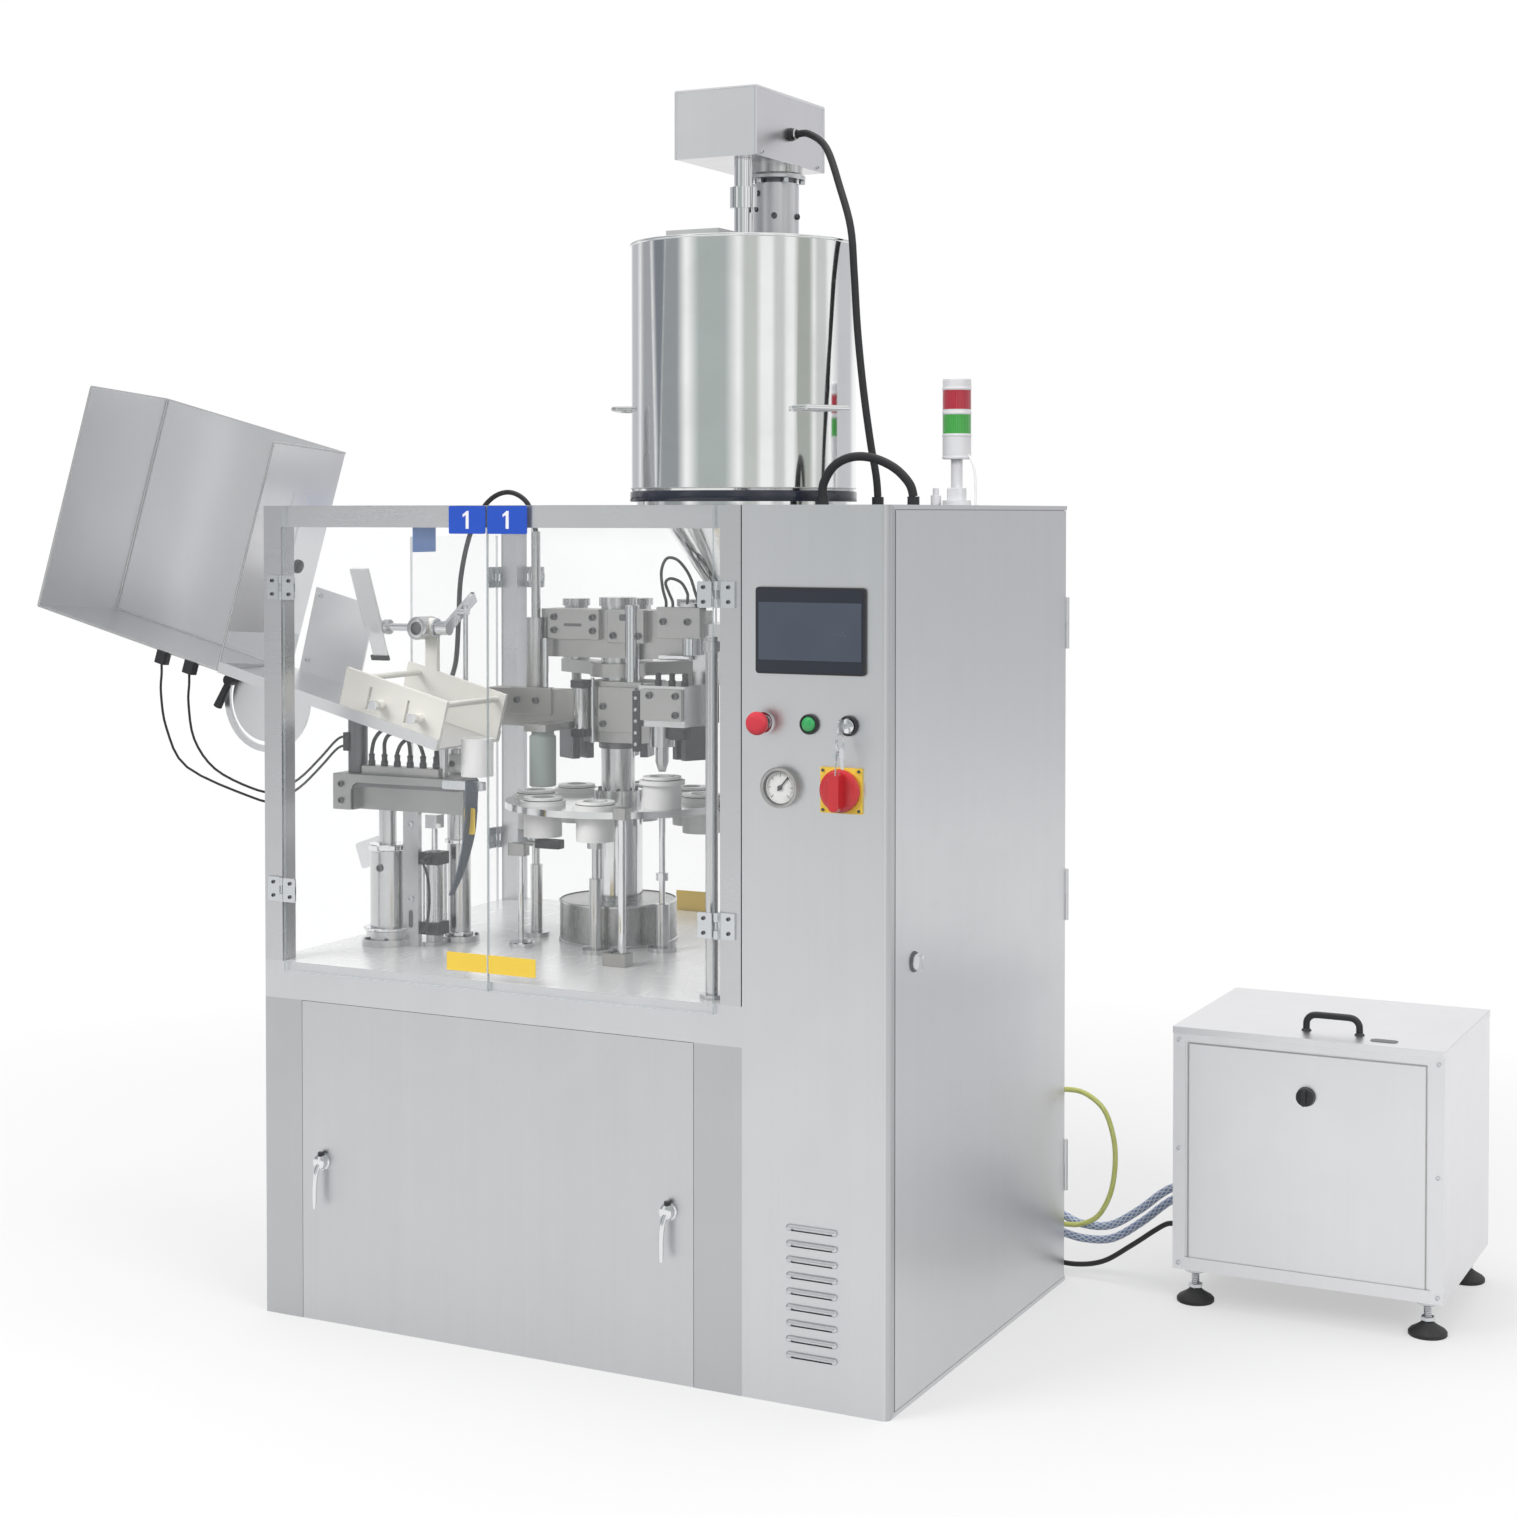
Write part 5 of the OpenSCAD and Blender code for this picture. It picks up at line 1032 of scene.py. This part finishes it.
half_turn = np.linspace(0, np.pi, 9)
bead = turned(LOUVRE_R * np.stack([np.sin(half_turn), -np.cos(half_turn)], axis=1), (0, 0, 0), X, 16)
piece("louvre_ends", [repeated(bead, [on_panel(LOUVRE_X + s * LOUVRE_HALF, z) for z in LOUVRE_Z for s in (-1, 1)])],
      sheet)
# A dark strip in the gap at the tower door's front edge: painted shade.
piece("tower_door_gap", [slab((TOWER_RIGHT - 0.003, DOOR_LO[1] - 0.0024, DOOR_LO[2]),
                              (TOWER_RIGHT + 0.0003, DOOR_LO[1] - 0.0002, DOOR_HI[2]))], dark_steel_and_shade)
piece("lock_rose", [turned(mm((8.4, 0), (8.4, 0.2), (18, 0.2), (17.4, 2.4), (14.4, 3.0), (14.4, 0)),
                           LOCK_AT, X)], dark_steel_and_shade, "tower_side_door")


# Stirrer drive and hopper fixings

BOX_LO = np.array([low("stirrer_drive")[0], 0.030, 2.184])
BOX_HI = np.array([DRIVE_GLAND - GLAND_H, 0.330, 2.314])
BOX_SIZE = BOX_HI - BOX_LO
BOX_X, BOX_Y = (BOX_LO[0], BOX_HI[0]), (BOX_LO[1], BOX_HI[1])
BOX_SCREW_Y, BOX_SCREW_Z = (0.055, 0.300), 2.192
FOLD_R = 0.0022
PEDESTAL = mm(115, 210, 0)
GRIP_OUT = around(1, 1, math.radians(200))[0]
GRIP_ALONG = np.cross(Z, GRIP_OUT)

piece("drive_box_folds",
      [bar((x, y, BOX_LO[2]), FOLD_R, BOX_SIZE[2]) for x in BOX_X for y in BOX_Y]
      + [bar((BOX_LO[0], y, BOX_HI[2]), FOLD_R, BOX_SIZE[0], X) for y in BOX_Y]
      + [bar((x, BOX_LO[1], BOX_HI[2]), FOLD_R, BOX_SIZE[1], Y) for x in BOX_X], bright_sheet)
piece("pedestal_drum", [
    turned(mm((34, 0), (45, 0), (46, 1), (46, 6), (45, 7), (45, 108), (34, 108)), PEDESTAL + 2.042 * Z, Z, 56),
    collar(*mm(34, 58, 8), PEDESTAL + 2.158 * Z, Z, 56)], sheet)
# A dark ring in the gap between the pedestal drum and its collar: painted shade.
piece("pedestal_gap", [turned(mm((34, 0), (41, 0), (41, 9), (34, 9)), PEDESTAL + 2.1495 * Z)], dark_steel_and_shade)
piece("pedestal_bolts", [hex_nut(PEDESTAL + p + 2.158 * Z, 0.006, 0.009, -Z) for p in around(6, 0.0515, 0.3)], zinc)
piece("pedestal_screws", [cap_screw(PEDESTAL + 0.045 * unit(d) + z * Z, 0.006, unit(d))
                          for z, d in ((2.085, -Y + 0.4 * X), (2.085, X), (2.130, -Y - 0.5 * X))], dark_steel_and_shade)
piece("drive_box_screws", [cap_screw((x, y, BOX_SCREW_Z), 0.0042, way) for x, way in ((BOX_HI[0], X), (BOX_LO[0], -X))
                           for y in BOX_SCREW_Y], zinc)
piece("drive_gland", [turned(mm((0, 0), (13, 0), (13, 6), (11.5, 7), (11.5, 12), (9, 17), (7.2, 17), (7.2, 0)),
                             (BOX_HI[0], 0.175, 2.240), X)], black)
piece("stirrer_collar", [collar(*mm(18.2, 24.6, 11), HOPPER_AT + 2.100 * Z, edge=mm(0.6, 2))], chrome, "stirring")
screws("stirrer_collar_screw", [HOPPER_AT + mm(26.2, 0, 2085)], 0.005, X, body="stirring")
piece("hopper_rim", [ring_section(0.2148, 0.0032, HOPPER_AT + 2.016 * Z, Z, 96)], mirror)
grip = smooth_route([HOPPER_AT + 1.705 * Z + out * GRIP_OUT + along * GRIP_ALONG for along, out in mm(
    (-50, 206), (-50, 232), (-45, 242), (-32, 247), (0, 247), (32, 247), (45, 242), (50, 232), (50, 206))], 5)
piece("hopper_grip", [swept(grip, circle(0.0045, 16))], polished)
piece("hopper_seat", [turned(mm((206, 0), (216.5, 0), (217.2, 1), (217.2, 17), (216.2, 19), (214, 19)),
                             HOPPER_AT + 1.528 * Z, Z, 96)], panel_glass)
piece("hopper_weld", [ring_section(0.2152, 0.0012, HOPPER_AT + 1.553 * Z, Z, 96)], polished)


# Signal lamp

LAMP = middle("lamp_stem") * (1, 1, 0)
LAMP_FOOT = LAMP + TOP * Z
LAMP_BANDS = (1.608, 1.650, 1.692, 1.738)
piece("lamp_bands", [turned(mm((27.0, 0), (27.7, 1), (27.7, 5), (27.0, 6)), LAMP + z * Z) for z in LAMP_BANDS],
      lamp_white)
piece("lamp_cap", [turned(mm((27, 0), (26.6, 3), (24, 5.5), (17, 7), (0, 7.4)), LAMP + high("lamp_stem")[2] * Z)],
      lamp_white)
piece("lamp_foot", [block((-15, -15, 0), (15, 15, 34), 4, at=LAMP_FOOT)], lamp_white, bevel=0.002)
piece("lamp_stud", [bar(LAMP_FOOT + mm(-40, -6, 0), 0.010, 0.020), bar(LAMP_FOOT + mm(-40, -6, 20), 0.006, 0.014)],
      lamp_white)
hose("lamp_lead", LAMP_FOOT + mm(
    (16, -4, 100), (24, -5, 97), (35, -6, 80), (40, -7, 55), (41, -7, 25), (41, -7, 0)), 0.0024, white)


# Cooling unit: levelling feet, bow handle, knob, lid and front seams

COOL_X0, COOL_Y0, COOL_FOOT = low("chiller_shell") + (GLAND_H, 0, 0)
COOL_X1, COOL_Y1, COOL_TOP = high("chiller_shell")
FOOT_IN = 0.035
FEET = [(x, y, 0.0) for x in (COOL_X0 + FOOT_IN, COOL_X1 - FOOT_IN) for y in (COOL_Y0 + FOOT_IN, COOL_Y1 - FOOT_IN)]
BOW_AT = np.array([(COOL_X0 + COOL_X1) / 2 + 0.032, COOL_Y0 + 0.075, COOL_TOP])
BOW_HALF = (
    (-50, 0, 0), (-50, 0, 10), (-49, 0, 20), (-43, 0, 28), (-34, 0, 31.5), (-18, 0, 32))
BOW_ROUTE = mm(*BOW_HALF, (0, 0, 32), *((-x, y, z) for x, y, z in BOW_HALF[::-1]))
THREAD = np.arange(23)
KNOB_AT = middle("chiller_knob") * (1, 0, 1) + (COOL_Y0 + 0.003) * Y
LID = 0.0015
SEAM = 0.0016
SEAM_X0, SEAM_X1, SEAM_Z0, SEAM_Z1 = COOL_X0 + 0.028, COOL_X1 - 0.034, COOL_FOOT + 0.024, COOL_TOP - 0.030

pad = turned(mm((0, 0), (34, 0), (35.5, 1.5), (35.5, 7), (32, 11), (20, 18), (13, 23), (11, 26), (0, 26)), (0, 0, 0))
mount = turned(mm((0, 0), (20, 0), (21.5, 2), (22, 9), (0, 9)), (0, 0, COOL_FOOT - 0.0095))
stem = turned(np.stack([np.where(THREAD % 2, 0.0078, 0.0066), 0.020 + 0.002 * THREAD], axis=1), (0, 0, 0), Z, 18)
piece("foot_pads", [repeated(pad, FEET)], rubber, replaces="chiller_fittings")
piece("foot_stems", [repeated(stem, FEET)], zinc)
piece("foot_mounts", [repeated(mount, FEET)], zinc)
piece("foot_nuts", [repeated(hex_nut((0, 0, 0.027), 0.0135, 0.008), FEET)], zinc)
piece("carry_handle", [swept(smooth_route(BOW_AT + BOW_ROUTE, 4), circle(0.0064, 20))] + [
    turned(mm((0, 0), (9.5, 0), (9.5, 2), (8, 4), (6.4, 5), (0, 5)), BOW_AT + s * 0.050 * X) for s in (-1, 1)], black)
piece("cooler_dial", [
    turned(mm((0, 13), (13, 13), (16.4, 11), (17.4, 7), (17.4, 1.5), (18.6, 0.6), (8, 0.6), (8, -14), (0, -14)),
           KNOB_AT, -Y),
    block((-4, -20, -15), (4, -10, 15), 3.5, Y, KNOB_AT)], black, "cooler_knob", bevel=0.001, replaces="chiller_knob")
piece("cooler_lid", [slab((COOL_X0 - LID, COOL_Y0 - LID, COOL_TOP - 0.012),
                          (COOL_X1 + LID, COOL_Y1 + LID, COOL_TOP + 0.001), 0.004)], bright_sheet, bevel=0.0008)
piece("cooler_front_seams", [slab((x0, COOL_Y0 - 0.0006, z0), (x1 + SEAM, COOL_Y0 + 0.0004, z1)) for x0, z0, x1, z1 in (
    (SEAM_X0, SEAM_Z0, SEAM_X0, SEAM_Z1), (SEAM_X1, SEAM_Z0, SEAM_X1, SEAM_Z1),
    (SEAM_X0, SEAM_Z1, SEAM_X1, SEAM_Z1 + SEAM))], machined)
# A dark sheet in the lid's slot: painted shade.
piece("lid_slot", [block((78, -45, 0.4), (128, -19, 1.8), 10, at=BOW_AT)], dark_steel_and_shade)
screws("cooler_front_screws", [(x, COOL_Y0, z) for x in (COOL_X0 + 0.011, COOL_X1 - 0.011)
                               for z in (COOL_FOOT + 0.012, (COOL_FOOT + COOL_TOP) / 2, COOL_TOP - 0.024)],
       0.0042, -Y, zinc)


# Feed: magazine lips and knob, chute screws, rocker, sensors and their leads

SLOPE, ROLL = math.radians(14.5), math.radians(4)
FEED_AT = mm(-876, -280, 1197)
DOWN = np.array([math.cos(SLOPE), 0, -math.sin(SLOPE)])
RISE = np.array([math.sin(SLOPE), 0, math.cos(SLOPE)])
MAG_BACK = math.cos(ROLL) * Y - math.sin(ROLL) * RISE
MAG_UP = math.sin(ROLL) * Y + math.cos(ROLL) * RISE
MAG_AT = FEED_AT + 0.003 * DOWN
MAG_W, MAG_D, MAG_H = 0.478, 0.240, 0.465
MOUTH_H = 0.08
LIP, FOLD, FOLD_IN = 0.0022, 0.0025, 0.004
ROCK_AT = joint_at("rocking") * (0, 1, 1)
LEVER_TILT, FLAP_TILT = math.radians(31), math.radians(22)
TERMINAL = mm(-619, -205, 1050)
FITTINGS = [mm(x, -200, 1016) for x in range(-560, -400, 30)]
CAST_LIP = mm((-630, 930), (-588, 930), (-588, 968), (-584, 978), (-574, 984), (-345, 984), (-345, 1000), (-630, 1000))
FIRST = mm(-530, -190, 0)
LOADER = hinge_line("loader")


def on_chute(part):
    """A part made down, across and square to the chute, set at the chute's upper end."""
    return set_at(part, FEED_AT, DOWN, Y, RISE)


def on_magazine(part):
    """A part made along, across and up the tilted magazine, set at its lower front corner."""
    return set_at(part, MAG_AT, DOWN, MAG_BACK, MAG_UP)


def on_rocker(part, tilt):
    """A part made round the rocker's shaft, tilted about it: Y and Z turned by the tilt."""
    way = np.array([0, math.cos(tilt), math.sin(tilt)])
    return set_at(part, ROCK_AT, X, way, np.cross(X, way))


piece("magazine_lips", [on_magazine(p) for p in (
    bar((-MAG_W, MAG_D, MAG_H), LIP, MAG_W, X), bar((-MAG_W, 0, MAG_H), LIP, MAG_D, Y),
    bar((0, 0, MAG_H), LIP, MAG_D, Y), bar((-MAG_W, 0, 0), LIP, MAG_H), bar((0, 0, 0), LIP, MAG_H),
    bar((-MAG_W, 0, 0), LIP, MAG_W, X))], polished)
piece("magazine_folds", [on_magazine(p) for p in (
    bar((-MAG_W + FOLD_IN, MAG_D - FOLD_IN, 0), FOLD, MAG_H),
    bar((-FOLD_IN, MAG_D - FOLD_IN, MOUTH_H), FOLD, MAG_H - MOUTH_H),
    bar((-MAG_W + FOLD_IN, MAG_D - FOLD_IN, FOLD_IN), FOLD, MAG_W - 2 * FOLD_IN, X))], polished)
piece("magazine_knob", [on_magazine(turned(
    mm((0, 26), (9, 26), (13, 24), (14.5, 20), (14, 15), (10, 11), (7, 9), (7, 0), (0, 0)), mm(0, 150, 225), X,
))], black)
piece("magazine_sensors", [on_magazine(block((x, -9, -26), (x + 24, 12, 0.5), 3)) for x in (-150, -78)], black,
      bevel=0.001)
piece("chute_thumb_screws", [on_chute(turned(
    mm((0, 18), (8, 18), (9.5, 16.5), (9.5, 5), (6, 3.5), (6, 0), (0, 0)), mm(x, -10, 45), -Y,
)) for x in (395, 485)], chrome)
piece("chute_back_screws", [on_chute(cap_screw(mm(x, 216, z), 0.005, -Y)) for x in (55, 175) for z in (25, 160)], zinc)

piece("lever_bridges", [on_rocker(block((-474.2, 46 + z, -5), (-464.8, 57 + z, 5)), LEVER_TILT) for z in (0, 27)],
      chrome, "rocking")
piece("bearing_faces", [turned(
    mm((8.2, 0), (8.2, 1.2), (13, 1.2), (13.4, 0.2), (16, 0.2), (16.4, 1.4), (19.6, 1.4), (20.2, 0)),
    ROCK_AT + mm(-493, 0, 0), X)], zinc)
piece("bearing_tube", [turned(mm((13, 0), (20, 0), (22.5, 1.5), (23, 4), (23, 52), (21, 54), (13, 54), (13, 4)),
                              ROCK_AT + mm(-520, -32, 0), Y, 48)], polished)
# A dark disc inside the bearing tube's bore: painted shade.
piece("bearing_bore", [turned(mm((0, 0), (13.1, 0), (13.1, 1), (0, 1)), ROCK_AT + mm(-520, -27, 0), Y)], dark_steel_and_shade)
piece("rocker_collars", [collar(*mm(8, 15.2, 12), ROCK_AT + mm(x, 0, 0), X, edge=mm(0.6, 1)) for x in (-640, -616)],
      polished, "rocking")
piece("flap_strip", [on_rocker(block((-656.5, -13.1, 0), (-613.5, -9.5, 132), 2, Y), FLAP_TILT)], frosted, "rocking")
piece("flap_edge", [on_rocker(block((-656.5, -17, -67), (-613.5, -12.5, -56), 1, Y), FLAP_TILT)], rubber, "rocking")

piece("chute_post_sleeve", [collar(*mm(11, 19, 107), mm(-600, -190, 1000))], dark_steel_and_shade)
for number, x in enumerate((-0.138, -0.066)):
    foot = MAG_AT + x * DOWN - 0.026 * MAG_UP + 0.002 * MAG_BACK
    shift = 0.018 * number
    hose(f"sensor_lead_{number + 1}", np.concatenate([
        foot + [(0, 0, 0), (0, 0, -0.02), (-0.002, 0, -0.06), (0.012, 0, -0.13), (0.060, 0.004, -0.205 + shift)],
        shift * Z + mm((-800, -268, 948), (-750, -258, 942), (-705, -240, 968), (-668, -222, 1008), (-642, -210, 1040)),
        shift * Z + [TERMINAL - 0.010 * X, TERMINAL],
    ]), 0.0024, rubber, 4)
piece("lead_terminal", [block((-3, -6, -8), (12, 10, 28), 3, at=TERMINAL)], black, bevel=0.001)

piece("air_manifold", [block((-575, -215, 999), (-395, -185, 1016), 3)], machined, bevel=0.001)
fitting = turned(mm((0, 0), (7, 0), (7, 9), (5.5, 10), (5.5, 18), (6.5, 20), (4.5, 23), (0, 23)), (0, 0, 0), Z, 20)
piece("air_fittings", [repeated(fitting, FITTINGS)], black)
for number, (start, lean, rise) in enumerate(((1, -16, 40), (2, 16, 34), (0, 4, 46)), 1):
    hose(f"air_loop_{number}", FITTINGS[start] + mm(
        (0, 0, 21), (0, 0, 26), (5, 0.4 * lean, 26 + 0.5 * rise), (21, 0.9 * lean, 26 + 0.9 * rise),
        (45, lean, 26 + rise), (69, 0.9 * lean, 26 + 0.9 * rise), (85, 0.4 * lean, 26 + 0.5 * rise), (90, 0, 26),
        (90, 0, 21)), 0.0038, rubber, 4)
piece("cast_lip", [extruded(CAST_LIP, 0.007, mm(0, -225, 0), X, Z)], cast, bevel=0.0015)
piece("slanted_plate", [set_at(block((-34, -1.5, -26), (34, 1.5, 26), 6, Y), mm(-596, -150, 838), unit(X + 0.35 * Z), Y,
                               unit(Z - 0.35 * X))], bright_sheet, bevel=0.0006)
piece("first_column_collars", [
    turned(mm((17.1, 0), (36, 0), (37.5, 1.5), (37.5, 10), (36, 12), (17.1, 12)), FIRST + 0.852 * Z),
    collar(*mm(34.1, 47, 6), FIRST + 0.697 * Z)], chrome)
piece("first_column_screws", [cap_screw(FIRST + mm(6, -34, 820), 0.007, -Y)] + [
    cap_screw(FIRST + p + 0.681 * Z, 0.0038, Z) for p in around(6, 0.046)], dark_steel_and_shade)
# A dark sheet in the flat bar's slot: painted shade.
piece("flat_bar_slot", [block((-477, -197, 704), (-468, -195.5, 738), 4.4, Y)], dark_steel_and_shade)
screws("flat_bar_screws", mm((-472, -196, 760), (-472, -196, 905)), 0.006, -Y, zinc)
screws("cast_screws", mm((-610, -232, 948), (-610, -232, 980)), 0.006, -Y)
piece("air_cylinder_ties", [bar(AIR + mm(x, y, 714), 0.0025, 0.112) for x in (-15, 15) for y in (-15, 15)], zinc)
piece("air_cylinder_neck", [turned(mm((6.3, 0), (11, 0), (11, 2), (10, 3), (6.3, 3)), AIR + 0.850 * Z)], zinc)
elbow = turned(mm((0, 0), (6.5, 0), (6.5, 8), (5, 10), (5, 17), (0, 17)), (0, 0, 0), -Y, 18)
piece("flow_fittings", [repeated(elbow, AIR + mm((0, -20, 702), (0, -20, 838)))], black)
hose("cylinder_line", AIR + mm(
    (0, -36, 838), (2, -46, 838), (14, -58, 832), (26, -62, 810), (30, -62, 770), (26, -62, 730), (14, -58, 708),
    (2, -46, 702), (0, -36, 702)), 0.0026, rubber, 4)

taper = smooth_route(mm((-304, -237, 1003), (-304, -239, 965), (-307, -239, 915), (-316, -239, 868), (-331, -239, 822),
                        (-350, -239, 782)), 6)
half_width = np.interp(np.linspace(0, 1, len(taper)), [0, 0.45, 1], mm(21, 19, 7))
half_size = np.stack([half_width, np.full(len(taper), 0.0018)], axis=1)
piece("guide_strap", [swept(taper, np.array([(-1, -1), (1, -1), (1, 1), (-1, 1)]) * half_size[:, None])], strap,
      bevel=0.0006)
piece("strap_clip", [block((-372, -237, 982), (-280, -224.5, 999), 3, Y)], zinc, bevel=0.001)
piece("strap_tag", [block((-318, -243, 900), (-294, -241, 950), 4, Y)], yellow)
piece("loader_column_rings", [collar(*mm(23.1, 28, 8), LOADER + z * Z) for z in (0.679, 0.860, 0.985)], chrome)
screws("loader_base_screws", LOADER + around(6, 0.034, 0.5) + 0.679 * Z, 0.0038, Z)
screws("loader_clamp_screw", [LOADER + mm(0, -24, 1017)], 0.006, -Y, body="loader")


# Heads over the table

HEAD_BLOCKS = (
    ((-292, 17, 1258), (-176, 29.5, 1318)), ((-153, 11, 1254), (-72, 29.5, 1319)),
    ((-39, 2, 1266), (56, 29.5, 1326)), ((-172, 6, 1080), (-89, 15.5, 1168)),
    ((-362, -13, 1110), (-268, -4.5, 1163)), ((-41, -59, 1112), (49, -50.5, 1172)),
)
piece("head_blocks", [block(lo, hi, 2, Y) for lo, hi in HEAD_BLOCKS], machined, bevel=0.0012)
piece("head_block_lid", [block((10, 4, 1325.5), (44, 24, 1334), 3)], polished, bevel=0.001)
# Dark sheets in the head blocks' slots: painted shade.
piece("head_slots", [block((-126, 10.4, 1297), (-96, 11.4, 1310), 3, Y),
                     block((-255, 16.4, 1284), (-215, 17.4, 1290), 2, Y)], dark_steel_and_shade)
screws("head_screws", mm(
    (-278, 17, 1276), (-278, 17, 1302), (-190, 17, 1276), (-190, 17, 1302), (-140, 11, 1268), (-84, 11, 1268),
    (29, 2, 1298), (-24, 2, 1298), (-160, 6, 1130), (-160, 6, 1096), (-302, -13, 1138), (-345, -13, 1138),
    (36, -59, 1160), (36, -59, 1124), (-20, -59, 1160)), 0.0068, -Y)
piece("head_rods", [bar(mm(*at), r, length, way) for at, r, length, way in (
    ((-100, 16, 1178), 0.014, 0.150, Z), ((-181, 2, 1058), 0.0038, 0.128, Z), ((-36, 8, 1229), 0.005, 0.068, X),
    ((33, 12, 1234), 0.018, 0.033, Z), ((-292, 8, 1160), 0.006, 0.100, Z))], chrome)
piece("head_cylinder", [collar(*mm(0, 14.5, 85), mm(-205, -2, 1084), edge=mm(0.5, 1))], polished)
piece("head_cylinder_caps", [block((-221, -18, z), (-189, 14.8, z + 15), 4) for z in (1070, 1166)], black, bevel=0.001)
piece("head_fittings", [repeated(fitting, [mm(x, -20, 1178) for x in (-22, 8, 36)]),
                        block((14, -46, 1076), (48, -14, 1100.5), 3)], black)
piece("head_upright", [block((-57, -60, 1052), (-41, -51, 1168), 2, Y)], black, bevel=0.001)
screws("head_upright_screws", [mm(-49, -60, z) for z in range(1066, 1155, 22)], 0.0034, -Y, zinc)
piece("orienting_arm", [block((-270, -112, 1086), (-218, -4.5, 1100), 6)], machined, bevel=0.001)
piece("orienting_sleeve", [turned(mm((0, 0), (24, 0), (26, 2), (26, 96), (22, 100), (22, 108), (0, 108)),
                                  mm(-244, -80.5, 979))], sleeve)
piece("column_ring", [collar(*mm(33.2, 38, 11), TABLE_AT + 1.045 * Z)], dark_steel_and_shade)
hose("head_loop_1", mm(
    (-24, 14, 1325), (-24, 14, 1337), (-28, 8, 1362), (-24, -4, 1396), (-4, -18, 1420), (26, -28, 1416),
    (50, -28, 1388), (56, -14, 1352), (50, 10, 1334), (44, 14, 1326)), 0.0029, rubber, 4)
hose("head_loop_2", mm(
    (-6, 8, 1325), (-6, 7, 1337), (-10, -2, 1356), (-6, -20, 1374), (14, -34, 1382), (36, -34, 1374), (40, -18, 1354),
    (32, -2, 1344), (27, 6, 1333)), 0.0029, rubber, 4)


# Table: thin dark rings of painted shade round the holders, sensor stand and side rod

STATIONS = TABLE_AT + around(8, 0.168, math.radians(-120))
RAISED, LIFT = 2, 0.045 * Z
STAND = mm(-287, -92, 0) + DECK
SIDE_ROD = mm(-5, -190, 0) + DECK
POST_BAR = mm(286, -384, 0) + DECK

# A thin dark ring round each holder where it meets the table: painted shade in the gap.
gap_shade_ring = ring_section(0.0371, 0.0009, (0, 0, 0.9525))
mouth = turned(mm((20, 0), (20.2, 0.6), (22, 0.9), (23.6, 0.4), (23.8, 0)), (0, 0, 0.958))
carried = np.delete(STATIONS, RAISED, axis=0)
piece("holder_rings", [repeated(gap_shade_ring, carried)], dark_steel_and_shade, "table")
piece("holder_mouths", [repeated(mouth, carried)], zinc, "table")
piece("raised_ring", [repeated(gap_shade_ring, [STATIONS[RAISED] + LIFT])], dark_steel_and_shade, "raised_holder")
piece("raised_mouth", [repeated(mouth, [STATIONS[RAISED] + LIFT])], zinc, "raised_holder")
screws("hub_screws", TABLE_AT + around(6, 0.041) + 0.963 * Z, 0.0042, Z, body="table")
piece("sensor_stand", [bar(STAND, 0.0055, 0.200),
                       turned(mm((0, 0), (24, 0), (25, 1), (25, 7), (23, 9), (0, 9)), STAND)], chrome)
piece("sensor_clamp", [block((-24, -12, 176), (14, 12, 200), 4, at=STAND),
                       bar(STAND + mm(10, 0, 202), 0.004, 0.040, X)], machined, bevel=0.001)
piece("sensor_head", [block((38, -12, 194), (92, 12, 211), 3, at=STAND)], black, bevel=0.001)
piece("side_rod", [bar(SIDE_ROD, 0.0075, 0.290)], chrome)
piece("side_rod_clamp", [block((-34, -16, 0), (16, 16, 24), 4, at=SIDE_ROD),
                         block((-14, -12, 272), (14, 12, 294), 3, at=SIDE_ROD)], machined, bevel=0.0012)
screws("side_rod_screws", SIDE_ROD + mm((-20, -8, 24), (-20, 8, 24)), 0.0045, Z)
piece("post_bar", [bar(POST_BAR, 0.011, 0.626), collar(*mm(0, 21, 7), POST_BAR),
                   collar(*mm(11, 16, 18), POST_BAR + 0.600 * Z)], polished)
piece("can_ring", [turned(mm((115, 0), (117, 1), (117, 5), (115, 6)), TABLE_AT + DECK, Z, 64),
                   turned(mm((113, 0), (116, 0.5), (116, 3), (113, 4.5)), TABLE_AT + 0.744 * Z, Z, 64)], polished)
